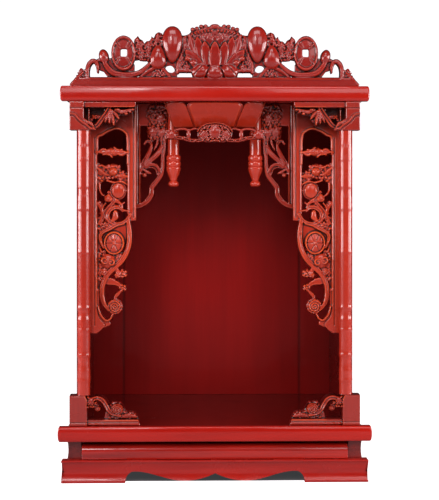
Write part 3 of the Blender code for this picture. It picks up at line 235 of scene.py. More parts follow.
def lacquer(name, bright, deep, along, hollow=None, gloss=0.17, contrast=0.5, joints=None, painted_shade=None,
            shine=(0.5, 0.3)):
    """Red lacquer over wood: grain streaks run along one axis, pores and dust dull the gloss.

    hollow is the colour painted into carved hollows as painted shade, and then ridges are painted
    lighter as painted highlight; joints is the width of glued planks. painted_shade, the argument
    after joints, darkens it as painted shade away from a point: the point, a stretch for the
    distance to it, near, far and the share.
    gloss is the roughness where it is cleanest; shine is its specular level and its clear coat.
    """
    finish = Finish(name)
    scale = [95.0, 95.0, 95.0]
    scale["XYZ".index(along)] = 5.0
    streaks = finish.noise(1.0, 5.0, 0.62, finish.stretched(scale))
    broad = [14.0, 14.0, 14.0]
    broad["XYZ".index(along)] = 1.6
    bands = finish.noise(1.0, 3.0, 0.55, finish.stretched(broad))
    clouds = finish.noise(5.5, 2.0, 0.5)
    tone = finish.clamp(streaks * 0.45 + bands * 0.35 + clouds * 0.2, 0.5 - 0.3 * contrast,
                        0.5 + 0.3 * contrast)
    colour = finish.mix(tone, deep, bright)
    height = streaks * 0.35
    if joints:
        spot = finish.node("ShaderNodeSeparateXYZ", {}, {0: finish.place}, "X")
        across = spot / joints + 0.5
        seam = finish.node("ShaderNodeMath", {"operation": "PINGPONG"}, {0: across, 1: 0.5})
        line = finish.clamp(seam, 0.0, 0.012)
        plank = finish.node("ShaderNodeMath", {"operation": "FLOOR"}, {0: across})
        shade = finish.node("ShaderNodeTexWhiteNoise", {"noise_dimensions": "1D"}, {"W": plank})
        colour = finish.mix(shade * 0.35, colour, deep)
        colour = finish.mix((1 - line) * 0.7, colour, (0.01, 0.001, 0.001, 1.0))
        height = height + line * 1.2
    # Painted shade: darker the further from a given point, up to a share.
    if painted_shade:
        centre, stretch, near, far, share = painted_shade
        off = finish.node("ShaderNodeVectorMath", {"operation": "SUBTRACT"}, {0: finish.place, 1: centre})
        off = finish.node("ShaderNodeVectorMath", {"operation": "MULTIPLY"}, {0: off, 1: stretch})
        reach = finish.node("ShaderNodeVectorMath", {"operation": "LENGTH"}, {0: off}, "Value")
        dark = (deep[0] * 0.25, deep[1] * 0.25, deep[2] * 0.25, 1.0)
        colour = finish.mix(finish.clamp(reach, near, far) * share, colour, dark)
    # Painted shade: carved hollows are darkened towards the hollow colour.
    if hollow:
        depth = finish.node("ShaderNodeAttribute", {"attribute_name": "hollow"}, {}, "Fac")
        colour = finish.mix(finish.clamp(depth, 0.02, 0.38), colour, hollow)
        # Painted highlight: proud ridges are painted lighter and more orange.
        ridge = finish.node("ShaderNodeAttribute", {"attribute_name": "ridge"}, {}, "Fac")
        colour = finish.mix(ridge * 0.8, colour, (bright[0] * 1.6, bright[1] * 3.4, bright[2] * 1.8, 1))
    dust = finish.noise(230.0, 3.0, 0.6)
    wear = finish.noise(19.0, 3.0, 0.6)
    rough = gloss + finish.clamp(wear, 0.42, 0.8) * 0.16 + dust * 0.05
    bump = finish.node("ShaderNodeBump", {}, {"Strength": 0.22, "Distance": 0.0006,
                                              "Height": height + dust * 0.12 + wear * 0.6})
    finish.set(base_color=colour, roughness=rough, normal=bump)
    finish.surface.inputs["Specular IOR Level"].default_value = shine[0]
    finish.surface.inputs["Coat Weight"].default_value = shine[1]
    finish.surface.inputs["Coat Roughness"].default_value = 0.035
    finish.surface.inputs["IOR"].default_value = 1.5
    return finish.material


def make_piece(name, verts, faces, material, body, nodes, angle=40):
    """One finished piece: closed, facing out, smooth up to an angle, riding its body."""
    mesh = bpy.data.meshes.new(name)
    mesh.from_pydata([tuple(v) for v in verts], [], [tuple(f) for f in faces])
    bm = bmesh.new()
    bm.from_mesh(mesh)
    bmesh.ops.remove_doubles(bm, verts=bm.verts, dist=1e-6)
    bmesh.ops.recalc_face_normals(bm, faces=bm.faces)
    if bm.calc_volume(signed=True) < 0:
        bmesh.ops.reverse_faces(bm, faces=bm.faces)
    bm.to_mesh(mesh)
    bm.free()
    return dress(name, mesh, material, body, nodes, angle)


def dress(name, mesh, material, body, nodes, angle=40):
    """Links a mesh as a piece with its material and body."""
    mesh.shade_smooth()
    mesh.set_sharp_from_angle(angle=math.radians(angle))
    mesh.materials.clear()
    mesh.materials.append(material)
    piece = bpy.data.objects.new(name, mesh)
    bpy.context.scene.collection.objects.link(piece)
    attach(piece, body)
    if nodes:
        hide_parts(*nodes)
    return piece


def loft(rings):
    """Corners and faces of a solid through closed rings, capped at both ends."""
    count = len(rings[0])
    verts = [p for ring in rings for p in ring]
    faces = []
    for level in range(len(rings) - 1):
        low = level * count
        for i in range(count):
            j = (i + 1) % count
            faces.append((low + i, low + j, low + count + j, low + count + i))
    faces.append(tuple(range(count)))
    faces.append(tuple(range((len(rings) - 1) * count, len(rings) * count)))
    return verts, faces


BRIGHT = (0.48, 0.013, 0.006, 1.0)
DEEP = (0.22, 0.004, 0.003, 1.0)
plinth_red = lacquer("plinth_lacquer", BRIGHT, DEEP, "X", contrast=0.9)
plinth_side_red = lacquer("plinth_side_lacquer", BRIGHT, DEEP, "Y", contrast=0.9)

COVE = 4.2 * MM
LIP = 2.5 * MM
APRON_FOOT, APRON_PEAK, APRON_LOBE = 137.5 * MM, 124 * MM, 47 * MM
APRON_HIGH, APRON_LOW, APRON_MIDDLE = 17 * MM, 3 * MM, 13.7 * MM
PLINTH_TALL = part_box("plinth_front")[1][2]


def cove_inset(z):
    """How far the plinth's face is hollowed at a height, with the lips' corners eased."""
    ease = 0.7 * MM
    if z < LIP or z > PLINTH_TALL - LIP:
        edge = min(z, PLINTH_TALL - z)
        return ease - math.sqrt(max(ease ** 2 - max(ease - edge, 0) ** 2, 0))
    t = (z - LIP) / (PLINTH_TALL - 2 * LIP)
    return COVE * math.sin(math.pi * t) ** 0.6


def apron_low(x):
    """Lower edge of the front board: feet, two hanging lobes and a cusp in the middle."""
    a = abs(x)
    if a >= APRON_FOOT:
        return 0.0
    if a >= APRON_PEAK:
        t = (APRON_FOOT - a) / (APRON_FOOT - APRON_PEAK)
        return APRON_HIGH * math.sqrt(max(1 - (1 - t) ** 2, 0))
    if a >= APRON_LOBE:
        t = (APRON_PEAK - a) / (APRON_PEAK - APRON_LOBE)
        return APRON_LOW + (APRON_HIGH - APRON_LOW) * (0.5 + 0.5 * math.cos(math.pi * t))
    t = (APRON_LOBE - a) / APRON_LOBE
    return APRON_LOW + (APRON_MIDDLE - APRON_LOW) * t ** 2


def plinth_board(node, along_x, coved_ends, edge):
    """One board of the plinth, through sections along its length."""
    low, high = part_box(node)
    long_axis = 0 if along_x else 1
    half = (high[long_axis] - low[long_axis]) / 2
    cross_low, cross_high = (low[1], high[1]) if along_x else (low[0], high[0])
    outer = cross_low if abs(cross_low) > abs(cross_high) else cross_high
    inner = cross_high if outer is cross_low else cross_low
    outward = 1 if outer > 0 else -1
    stations = [-half, -half + 1 * MM, -half + 4 * MM]
    stations += [x * half for x in np.linspace(-0.97, 0.97, 161)]
    if edge:
        for step in (0, 0.2, 0.7, 1.7, 3.5):
            stations += [step * MM - APRON_FOOT, APRON_FOOT - step * MM]
    stations = sorted(stations + [half - 4 * MM, half - 1 * MM, half])
    levels = [0, 0.02, 0.05, 0.073, 0.08, 0.1] + list(np.linspace(0.13, 0.87, 14))
    levels += [0.9, 0.92, 0.927, 0.95, 0.98, 1.0]
    rings = []
    for station in stations:
        foot = apron_low(station) if edge else 0.0
        at_end = abs(abs(station) - half) < 1e-9
        face = []
        back = []
        for share in levels:
            z = foot + (PLINTH_TALL - foot) * share
            inset = cove_inset(z)
            along = station
            if at_end and coved_ends:
                along = math.copysign(half - inset, station)
            face.append((along, outer - outward * inset, z))
            if share in (0, 1.0):
                back.append((along, inner, z))
        ring = face + back[::-1]
        rings.append(ring if along_x else [(b, a, c) for a, b, c in ring])
    return loft(rings)


for node in ("plinth_front", "plinth_back", "plinth_left", "plinth_right"):
    along_x = node in ("plinth_front", "plinth_back")
    verts, faces = plinth_board(node, along_x, along_x, node == "plinth_front")
    make_piece(node + "_moulded", verts, faces, plinth_red if along_x else plinth_side_red, "cabinet",
               [node], 35)


# Waist and bottom board: two rails with a hollowed outer face and a back rail, glued on the plinth.
# The bottom board lies inside the plinth, unseen, in thin dark lacquer.

WAIST_BRIGHT = (0.20, 0.012, 0.008, 1.0)
WAIST_DEEP = (0.06, 0.003, 0.003, 1.0)
WAIST_HOLLOW = 1.5 * MM
waist_red = lacquer("waist_lacquer", WAIST_BRIGHT, WAIST_DEEP, "Y", gloss=0.24)
under_red = lacquer("under_lacquer", WAIST_BRIGHT, WAIST_DEEP, "X", gloss=0.4)


def carried(node, material):
    """A CAD node that keeps its shape takes a better finish."""
    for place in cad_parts[node].material_slots:
        place.material = material


for side, node in ((-1, "waist_left"), (1, "waist_right")):
    low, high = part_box(node)
    outer = max(abs(low[0]), abs(high[0]))
    inner = min(abs(low[0]), abs(high[0]))
    section = []
    for i in range(25):
        t = i / 24
        face = outer - WAIST_HOLLOW * math.sin(math.pi * t)
        section.append((side * face, low[2] + (high[2] - low[2]) * t))
    section += [(side * inner, high[2]), (side * inner, low[2])]
    rings = [[(x, y, z) for x, z in section] for y in (low[1], high[1])]
    verts, faces = loft(rings)
    make_piece(node + "_rail", verts, faces, waist_red, "cabinet", [node])
carried("waist_back", under_red)
carried("bottom_board", under_red)


# Base slab and roof board: thick boards whose eased front strip runs past the sides by a short ear.
# Grain runs across the cabinet, under the deepest gloss of all the parts.

roof_red = lacquer("roof_lacquer", (0.50, 0.014, 0.006, 1.0), (0.23, 0.005, 0.003, 1.0), "X", gloss=0.12,
                   contrast=0.8, shine=(0.45, 0.3))
# Painted shade: the slab is painted darker from a little behind its front edge inwards, over the niche floor.
slab_red = lacquer("slab_lacquer", (0.52, 0.012, 0.005, 1.0), (0.24, 0.004, 0.002, 1.0), "X", gloss=0.12,
                   contrast=0.8, shine=(0.4, 0.25), painted_shade=((0, -0.165, 0.05), (0, 1, 0), 0.006, 0.014, 0.88))
NOSE_DEEP = 14 * MM
NOSE_CORNER = 2.5 * MM
SLAB_EAR = 15.5 * MM
ROOF_EAR = 10 * MM


def nosed(node, body_in):
    """The board through rings of its plan, whose front strip follows an eased edge."""
    low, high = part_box(node)
    radius = (high[2] - low[2]) / 2
    ear = low[1] + NOSE_DEEP
    body = high[0] - body_in
    rings = []
    levels = 26
    for i in range(levels + 1):
        turn = math.pi * i / levels
        z = low[2] + radius * (1 - math.cos(turn))
        bulge = max(math.sin(turn), 0.0) ** 0.72
        inset = radius * (1 - bulge) * 0.28
        x = high[0] - inset
        front = low[1] + inset
        ring = [(-body, high[1], z), (-body, ear, z), (-x, ear, z)]
        eased = []
        for k in range(6):
            a = math.pi / 2 * k / 5
            eased.append((NOSE_CORNER * (1 - math.cos(a)), front + NOSE_CORNER * (1 - math.sin(a)), z))
        ring += [(-x + a, b, c) for a, b, c in eased] + [(x - a, b, c) for a, b, c in eased[::-1]]
        ring += [(x, ear, z), (body, ear, z), (body, high[1], z)]
        rings.append(ring)
    return loft(rings)


for node, body_in, finish in (("base_slab", SLAB_EAR, slab_red), ("roof_board", ROOF_EAR, roof_red)):
    verts, faces = nosed(node, body_in)
    make_piece(node + "_moulded", verts, faces, finish, "cabinet", [node], 32)


# Drawer: a shallow loose tray of plain wood behind a lacquered front with a rounded upper half.
# The front shows a small knot towards its right end.

KNOT_AT = (151 * MM, 45 * MM)
EASED = 0.6 * MM

drawer_low, drawer_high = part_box("drawer_front")
front_finish = Finish("drawer_lacquer")
spot = front_finish.node("ShaderNodeMapping", {}, {"Vector": front_finish.place,
                                                   "Location": (-KNOT_AT[0], 0, -KNOT_AT[1]),
                                                   "Scale": (1.0, 0.0, 1.7)})
reach = front_finish.node("ShaderNodeVectorMath", {"operation": "LENGTH"}, {0: spot}, "Value")
streaks = front_finish.noise(1.0, 5.0, 0.6, front_finish.stretched((6.0, 110.0, 110.0)))
clouds = front_finish.noise(1.0, 3.0, 0.5, front_finish.stretched((2.0, 20.0, 20.0)))
tone = front_finish.clamp(streaks * 0.5 + clouds * 0.5, 0.36, 0.64)
colour = front_finish.mix(tone, (0.18, 0.004, 0.003, 1.0), (0.46, 0.013, 0.006, 1.0))
knot = 1 - front_finish.clamp(reach, 0.0015, 0.0042)
colour = front_finish.mix(knot * 0.7, colour, (0.03, 0.002, 0.002, 1.0))
bump = front_finish.node("ShaderNodeBump", {}, {"Strength": 0.2, "Distance": 0.0006,
                                                "Height": streaks * 0.4 + knot * 0.5})
front_finish.set(base_color=colour, roughness=0.13 + clouds * 0.12, normal=bump)
front_finish.surface.inputs["Coat Weight"].default_value = 0.6
front_finish.surface.inputs["Coat Roughness"].default_value = 0.06

tall = drawer_high[2] - drawer_low[2]
thick = drawer_high[1] - drawer_low[1]
section = [(drawer_high[1], drawer_low[2]), (drawer_low[1] + 0.8 * MM, drawer_low[2]),
           (drawer_low[1] + 0.2 * MM, drawer_low[2] + 0.3 * MM), (drawer_low[1], drawer_low[2] + 0.9 * MM),
           (drawer_low[1], drawer_low[2] + tall * 0.5)]
for i in range(1, 19):
    turn = math.pi / 2 * i / 18
    section.append((drawer_low[1] + thick * 0.75 * (1 - math.cos(turn)),
                    drawer_low[2] + tall * (0.5 + 0.5 * math.sin(turn))))
section.append((drawer_high[1], drawer_high[2]))
rings = []
middle_y = (drawer_low[1] + drawer_high[1]) / 2
middle_z = (drawer_low[2] + drawer_high[2]) / 2
for x, shrink in ((drawer_low[0], EASED), (drawer_low[0] + EASED, 0.0), (drawer_high[0] - EASED, 0.0),
                  (drawer_high[0], EASED)):
    rings.append([(x, y + shrink * (1 if y < middle_y else 0), z - math.copysign(shrink, z - middle_z))
                  for y, z in section])
verts, faces = loft(rings)
make_piece("drawer_front_moulded", verts, faces, front_finish.material, "drawer",
           ["drawer_front"], 30)

tray = Finish("tray_wood")
year_rings = tray.node("ShaderNodeTexWave", {"bands_direction": "X"},
                       {"Vector": tray.stretched((1.0, 0.12, 1.0)), "Scale": 42.0, "Distortion": 6.0,
                        "Detail": 3.0, "Detail Scale": 1.2})
fibre = tray.noise(1.0, 4.0, 0.6, tray.stretched((260.0, 14.0, 260.0)))
wood = tray.mix(tray.clamp(year_rings * 0.55 + fibre * 0.45, 0.3, 0.75), (0.35, 0.19, 0.09, 1.0),
                (0.46, 0.27, 0.13, 1.0))
tray_bump = tray.node("ShaderNodeBump", {}, {"Strength": 0.3, "Distance": 0.0004, "Height": fibre})
tray.set(base_color=wood, roughness=0.55 + fibre * 0.2, normal=tray_bump)
for node in ("drawer_side_left", "drawer_side_right", "drawer_back", "drawer_bottom"):
    carried(node, tray.material)


# Niche: thin side boards and a back of wide upright planks, set between the slab and the roof board.
# The side boards take a darker copy of the lacquer, painted shade inside the niche. The back is
# painted brightest in its lower middle and darker towards its edges, as painted light and shade.

back_red = lacquer("back_lacquer", (0.66, 0.009, 0.006, 1.0), (0.36, 0.004, 0.003, 1.0), "Z", gloss=0.40,
                   contrast=0.9, joints=0.31, shine=(0.22, 0.06),
                   painted_shade=((0, 0, 0.33), (1.0, 0, 1.0), 0.06, 0.24, 0.62))
wall_shade_red = lacquer("wall_painted_shade_lacquer", (0.20, 0.007, 0.005, 1.0), (0.06, 0.002, 0.002, 1.0), "Z", gloss=0.16,
                   contrast=0.8)
carried("back_wall", back_red)
carried("side_wall_left", wall_shade_red)
carried("side_wall_right", wall_shade_red)


# Posts: lacquered wood turned like bamboo canes, each joint a ring with a waist beside it. They stand
# between the base and capital blocks. Nodes sweep each cane along its centre line, and a curve
# gives its radius, where 0 to 1 stands for 0.9 to 1.1 of the cane's own.

post_red = lacquer("post_lacquer", (0.56, 0.033, 0.013, 1.0), (0.28, 0.013, 0.007, 1.0), "Z", gloss=0.2,
                   contrast=0.7, shine=(0.35, 0.75))
CANE = ((0.0, 0.94), (0.03, 0.935), (0.05, 0.965), (0.055, 1.0), (0.060, 0.975), (0.09, 0.965),
        (0.125, 0.905), (0.145, 0.965), (0.15, 1.0), (0.157, 0.965), (0.20, 0.95), (0.238, 0.965),
        (0.245, 1.0), (0.252, 0.975), (0.285, 0.965), (0.311, 0.905), (0.325, 0.965), (0.33, 1.0),
        (0.337, 0.965), (0.45, 0.94), (0.534, 0.955), (0.54, 0.985), (0.546, 0.955), (0.62, 0.94),
        (0.697, 0.965), (0.704, 1.0), (0.711, 0.975), (0.745, 0.965), (0.774, 0.905), (0.79, 0.955),
        (0.85, 0.945), (0.885, 0.965), (0.892, 1.0), (0.899, 0.975), (0.935, 0.965), (0.964, 0.905),
        (1.0, 0.95))

cane_tree = bpy.data.node_groups.new("cane", "GeometryNodeTree")
foot_in = cane_tree.interface.new_socket("Foot", in_out="INPUT", socket_type="NodeSocketVector")
head_in = cane_tree.interface.new_socket("Head", in_out="INPUT", socket_type="NodeSocketVector")
radius_in = cane_tree.interface.new_socket("Radius", in_out="INPUT", socket_type="NodeSocketFloat")
coat_in = cane_tree.interface.new_socket("Lacquer", in_out="INPUT", socket_type="NodeSocketMaterial")
cane_tree.interface.new_socket("Geometry", in_out="OUTPUT", socket_type="NodeSocketGeometry")


def grow(tree, kind, settings=None, sockets=None):
    """A node of a shape tree, with its settings and its values or links."""
    made = tree.nodes.new(kind)
    for key, value in (settings or {}).items():
        setattr(made, key, value)
    for key, value in (sockets or {}).items():
        if isinstance(value, bpy.types.NodeSocket):
            tree.links.new(value, made.inputs[key])
        else:
            made.inputs[key].default_value = value
    return made


given = grow(cane_tree, "NodeGroupInput")
line = grow(cane_tree, "GeometryNodeCurvePrimitiveLine", {}, {"Start": given.outputs["Foot"],
                                                              "End": given.outputs["Head"]})
steps = grow(cane_tree, "GeometryNodeResampleCurve", {}, {"Curve": line.outputs[0], "Count": 300})
along = grow(cane_tree, "GeometryNodeSplineParameter")
swell = grow(cane_tree, "ShaderNodeFloatCurve", {}, {"Value": along.outputs["Factor"]})
bend = swell.mapping.curves[0]
for point, (at, share) in zip(bend.points, (CANE[0], CANE[-1])):
    point.location = (at, (share - 0.9) * 5)
for at, share in CANE[1:-1]:
    bend.points.new(at, (share - 0.9) * 5)
for point in bend.points:
    point.handle_type = "AUTO_CLAMPED"
swell.mapping.update()
fifth = grow(cane_tree, "ShaderNodeMath", {"operation": "MULTIPLY_ADD"},
             {0: swell.outputs[0], 1: 0.2, 2: 0.9})
size = grow(cane_tree, "ShaderNodeMath", {"operation": "MULTIPLY"},
            {0: fifth.outputs[0], 1: given.outputs["Radius"]})
circle = grow(cane_tree, "GeometryNodeCurvePrimitiveCircle", {}, {"Resolution": 56, "Radius": 1.0})
cane_mesh = grow(cane_tree, "GeometryNodeCurveToMesh", {},
                 {"Curve": steps.outputs[0], "Profile Curve": circle.outputs[0], "Scale": size.outputs[0],
                  "Fill Caps": True})
whole = grow(cane_tree, "GeometryNodeRealizeInstances", {}, {"Geometry": cane_mesh.outputs[0]})
coated = grow(cane_tree, "GeometryNodeSetMaterial", {}, {"Geometry": whole.outputs[0],
                                                         "Material": given.outputs["Lacquer"]})
grow(cane_tree, "NodeGroupOutput", {}, {"Geometry": coated.outputs[0]})


def grown_mesh(name, tree, values):
    """The plain mesh that a shape tree makes."""
    seed = bpy.data.objects.new(name + "_seed", bpy.data.meshes.new(name + "_seed"))
    bpy.context.scene.collection.objects.link(seed)
    modifier = seed.modifiers.new("shape", "NODES")
    modifier.node_group = tree
    for socket, value in values:
        modifier[socket.identifier] = value
    bpy.context.view_layer.update()
    view = seed.evaluated_get(bpy.context.evaluated_depsgraph_get())
    mesh = bpy.data.meshes.new_from_object(view)
    bpy.data.objects.remove(seed)
    return mesh


for node in ("post_left", "post_right"):
    low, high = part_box(node)
    radius = max(high[0] - low[0], high[1] - low[1]) / 2 / math.cos(math.pi / 12)
    centre = ((low[0] + high[0]) / 2, (low[1] + high[1]) / 2)
    mesh = grown_mesh(node, cane_tree, [(foot_in, (centre[0], centre[1], low[2])),
                                        (head_in, (centre[0], centre[1], high[2])),
                                        (radius_in, radius * 0.985), (coat_in, post_red)])
    bm = bmesh.new()
    bm.from_mesh(mesh)
    bmesh.ops.remove_doubles(bm, verts=bm.verts, dist=1e-6)
    bmesh.ops.recalc_face_normals(bm, faces=bm.faces)
    bm.to_mesh(mesh)
    bm.free()
    dress(node + "_cane", mesh, post_red, "cabinet", [node], 60)


# Base brackets: block and scroll in one piece of carved wood, glued in the corners on the slab.
# A post stands on each; an arched stem, a rose and a leafy tail run in along the slab.

CARVED_BRIGHT = (0.40, 0.023, 0.011, 1.0)
CARVED_DEEP = (0.18, 0.008, 0.005, 1.0)
# Near-black painted into the carvings' hollows as painted shade; their ridges get a painted highlight.
CARVED_PAINTED_SHADE = (0.022, 0.001, 0.001, 1.0)
carved_red = lacquer("carved_lacquer", CARVED_BRIGHT, CARVED_DEEP, "Z", hollow=CARVED_PAINTED_SHADE, gloss=0.22,
                     contrast=0.8, shine=(0.32, 0.9))


def smooth_path(points, steps=6, closed=False):
    """A rounded curve through a few points."""
    pts = [np.array(p, float) for p in points]
    count = len(pts)
    path = []
    last = count if closed else count - 1
    for i in range(last):
        p0 = pts[(i - 1) % count] if closed or i > 0 else pts[0]
        p1 = pts[i]
        p2 = pts[(i + 1) % count]
        p3 = pts[(i + 2) % count] if closed or i + 2 < count else pts[-1]
        for k in range(steps):
            t = k / steps
            path.append(0.5 * (2 * p1 + (p2 - p0) * t + (2 * p0 - 5 * p1 + 4 * p2 - p3) * t ** 2
                               + (3 * p1 - p0 - 3 * p2 + p3) * t ** 3))
    if not closed:
        path.append(pts[-1])
    return np.array(path)


class Stroke:
    """A ribbon along a curve. style: round, gutter with a hollow middle, or leaf with veins."""

    def __init__(self, points, widths, top, base=4.0, style=None):
        self.path = smooth_path(points)
        spread = np.linspace(0, 1, len(widths))
        self.half = np.interp(np.linspace(0, 1, len(self.path)), spread, widths)
        self.top = top
        self.base = base
        wide = max(widths)
        leafy = len(points) <= 3 and 2.3 <= wide <= 3.3
        self.style = style or ("leaf" if leafy else "gutter" if 1.9 <= wide <= 3.3 else "round")

    def reach(self):
        pad = self.half.max() + 0.5
        return self.path.min(axis=0) - pad, self.path.max(axis=0) + pad

    def field(self, u, v):
        best = np.full(u.shape, -1e9)
        high = np.zeros(u.shape)
        run = 0.0
        for a, b, ra, rb in zip(self.path, self.path[1:], self.half, self.half[1:]):
            ab = b - a
            length = max(float(np.hypot(*ab)), 1e-9)
            t = np.clip(((u - a[0]) * ab[0] + (v - a[1]) * ab[1]) / length ** 2, 0, 1)
            du, dv = u - a[0] - t * ab[0], v - a[1] - t * ab[1]
            off = np.hypot(du, dv)
            half = ra + (rb - ra) * t
            inside = half - off
            share = np.clip(off / half, 0, 1)
            rise = np.sqrt(1 - share ** 2)
            if self.style == "gutter":
                rise = rise * (1 - 0.42 * np.exp(-(share / 0.36) ** 2))
            if self.style == "leaf":
                s = run + t * length
                vein = 0.5 + 0.5 * np.cos(math.tau * (s / 2.3 + share * 0.9))
                rise = rise * (0.82 + 0.18 * vein) * (1 - 0.3 * np.exp(-(share / 0.16) ** 2))
            run += length
            best = np.maximum(best, inside)
            high = np.where(inside > 0, np.maximum(high, rise), high)
        return best, self.base + (self.top - self.base) * high


class Dome:
    """A rounded knob, a rosette when it has lobes, with a pressed centre."""

    def __init__(self, at, radii, top, base=4.0, turn=0.0, lobes=0, dent=0.0, twist=0.0, taper=0.0):
        self.at = np.array(at, float)
        self.radii = radii
        self.top = top
        self.base = base
        self.turn = math.radians(turn)
        self.lobes = lobes
        self.dent = dent
        self.twist = twist
        self.taper = taper

    def reach(self):
        pad = max(self.radii) * (1.05 + abs(self.taper)) + 0.5
        return self.at - pad, self.at + pad

    def polar(self, u, v):
        c, s = math.cos(self.turn), math.sin(self.turn)
        du, dv = u - self.at[0], v - self.at[1]
        x = (du * c + dv * s) / self.radii[0]
        y = (-du * s + dv * c) / self.radii[1]
        x = x / (1 + self.taper * np.clip(y, -1, 1))
        return np.hypot(x, y), np.arctan2(y, x)

    def field(self, u, v):
        r, angle = self.polar(u, v)
        crease = 1.0
        if self.lobes:
            swirl = angle + self.twist * r
            wave = 0.5 - 0.5 * np.cos(self.lobes * swirl)
            r = r / (1 - self.dent * wave)
            crease = 1 - 0.34 * wave ** 3 * np.clip(r * 2.2, 0, 1)
            crease = crease * (1 - 0.4 * np.exp(-((r - 0.36) / 0.07) ** 2))
        inside = (1 - r) * min(self.radii)
        rise = np.sqrt(np.clip(1 - r * r, 0, 1))
        return inside, self.base + (self.top - self.base) * rise * crease


class Petal:
    """A pointed petal from root to tip, dished, with a raised edge and fine ribs."""

    def __init__(self, root, tip, half, top, base=8.0):
        self.root = np.array(root, float)
        self.run = np.array(tip, float) - self.root
        self.half = half
        self.top = top
        self.base = base

    def reach(self):
        ends = np.array([self.root, self.root + self.run])
        return ends.min(axis=0) - self.half - 0.5, ends.max(axis=0) + self.half + 0.5

    def field(self, u, v):
        length = np.hypot(*self.run)
        t = ((u - self.root[0]) * self.run[0] + (v - self.root[1]) * self.run[1]) / length ** 2
        s = ((u - self.root[0]) * self.run[1] - (v - self.root[1]) * self.run[0]) / length
        t_in = np.clip(t, 0, 1)
        half = self.half * np.clip(1 - t_in, 0, 1) ** 0.62 * (0.72 + 0.95 * t_in)
        inside = np.minimum(half - np.abs(s), np.minimum(t + 0.04, 1 - t) * length)
        share = np.clip(np.abs(s) / np.maximum(half, 1e-6), 0, 1)
        edge = np.maximum(share ** 4, t_in ** 6)
        ribs = 0.05 * np.cos(s * 4.2) * (1 - edge)
        rise = (0.66 + 0.34 * edge + ribs) * np.sqrt(np.clip(inside / 1.0, 0, 1))
        return inside, self.base + (self.top - self.base) * rise * (0.75 + 0.25 * t_in)


class Rim:
    """A raised oval band."""

    def __init__(self, at, radii, half, top, base=4.0):
        self.dome = Dome(at, radii, top, base)
        self.half = half
        self.top = top
        self.base = base

    def reach(self):
        low, high = self.dome.reach()
        return low - self.half, high + self.half

    def field(self, u, v):
        inside, _ = self.dome.field(u, v)
        away = np.abs(inside)
        rise = np.sqrt(np.clip(1 - (away / self.half) ** 2, 0, 1))
        return self.half - away, self.base + (self.top - self.base) * rise


class Plate:
    """A flat area inside an outline, its edge eased."""

    def __init__(self, outline, top, rounded=False):
        self.path = smooth_path(outline, 4, True) if rounded else np.array(outline, float)
        self.top = top

    def reach(self):
        return self.path.min(axis=0) - 0.5, self.path.max(axis=0) + 0.5

    def field(self, u, v):
        gap = np.full(u.shape, 1e9)
        odd = np.zeros(u.shape, bool)
        for a, b in zip(self.path, np.roll(self.path, -1, axis=0)):
            ab = b - a
            t = np.clip(((u - a[0]) * ab[0] + (v - a[1]) * ab[1]) / max(float(ab @ ab), 1e-9), 0, 1)
            gap = np.minimum(gap, np.hypot(u - a[0] - t * ab[0], v - a[1] - t * ab[1]))
            crosses = (a[1] > v) != (b[1] > v)
            rise = b[1] - a[1] if abs(b[1] - a[1]) > 1e-9 else 1e-9
            odd ^= crosses & (u < a[0] + (v - a[1]) * (b[0] - a[0]) / rise)
        ease = np.clip(gap / 0.9, 0, 1)
        return np.where(odd, gap, -gap), self.top - 1.6 * (1 - np.sqrt(1 - (1 - ease) ** 2))


class Hole:
    """An opening cut through what stands before it in the list."""

    def __init__(self, form):
        self.form = form


class Groove:
    """A line cut into what stands before it in the list."""

    def __init__(self, points, half, deep):
        self.line = Stroke(points, [half, half], 1.0, 0.0, "round")
        self.deep = deep

    def reach(self):
        return self.line.reach()

    def field(self, u, v):
        own, rise = self.line.field(u, v)
        return own, self.deep * rise


def spiral(at, big, small, turns, start=0.0):
    """Points of a spiral that winds in towards its middle."""
    points = []
    count = max(8, int(9 * abs(turns)))
    for k in range(count + 1):
        share = k / count
        angle = math.radians(start) + math.tau * turns * share
        r = big + (small - big) * share
        points.append((at[0] + r * math.cos(angle), at[1] + r * math.sin(angle)))
    return points


def oval(at, radii):
    """Points once round an oval."""
    return [(at[0] + radii[0] * math.cos(math.tau * k / 16), at[1] + radii[1] * math.sin(math.tau * k / 16))
            for k in range(17)]


def spokes(at, radii, count, start=0.2, turn=0.0):
    """Grooves that part the petals of a rosette."""
    cuts = []
    for k in range(count):
        angle = math.tau * k / count + math.radians(turn)
        ray = (radii[0] * math.cos(angle), radii[1] * math.sin(angle))
        ends = [(at[0] + ray[0] * start, at[1] + ray[1] * start), (at[0] + ray[0], at[1] + ray[1])]
        cuts.append(Groove(ends, 0.45, 1.5))
    return cuts


def foliage(outline, pitch, top, base):
    """Small curled leaves packed over an area, each turned its own way."""
    path = np.array(outline, float)
    low, high = path.min(axis=0), path.max(axis=0)
    leaves = []
    row = 0
    v = low[1] + pitch * 0.4
    while v < high[1]:
        u = low[0] + pitch * (0.3 + 0.5 * (row % 2))
        while u < high[0]:
            seed = math.sin(u * 12.99 + v * 78.23) * 43758.55
            share = seed - math.floor(seed)
            spot = (u + (share - 0.5) * pitch * 0.5, v + (math.fmod(share * 7.0, 1.0) - 0.5) * pitch * 0.5)
            odd = False
            for a, b in zip(path, np.roll(path, -1, axis=0)):
                if (a[1] > spot[1]) != (b[1] > spot[1]):
                    if spot[0] < a[0] + (spot[1] - a[1]) * (b[0] - a[0]) / (b[1] - a[1]):
                        odd = not odd
            if odd:
                long = pitch * (0.62 + 0.25 * share)
                leaves.append(Dome(spot, (long, long * 0.66), top - share * (top - base) * 0.35, base,
                                   share * 360, 5, 0.3, 2.5 * (share - 0.5)))
            u += pitch
        v += pitch * 0.86
        row += 1
    return leaves


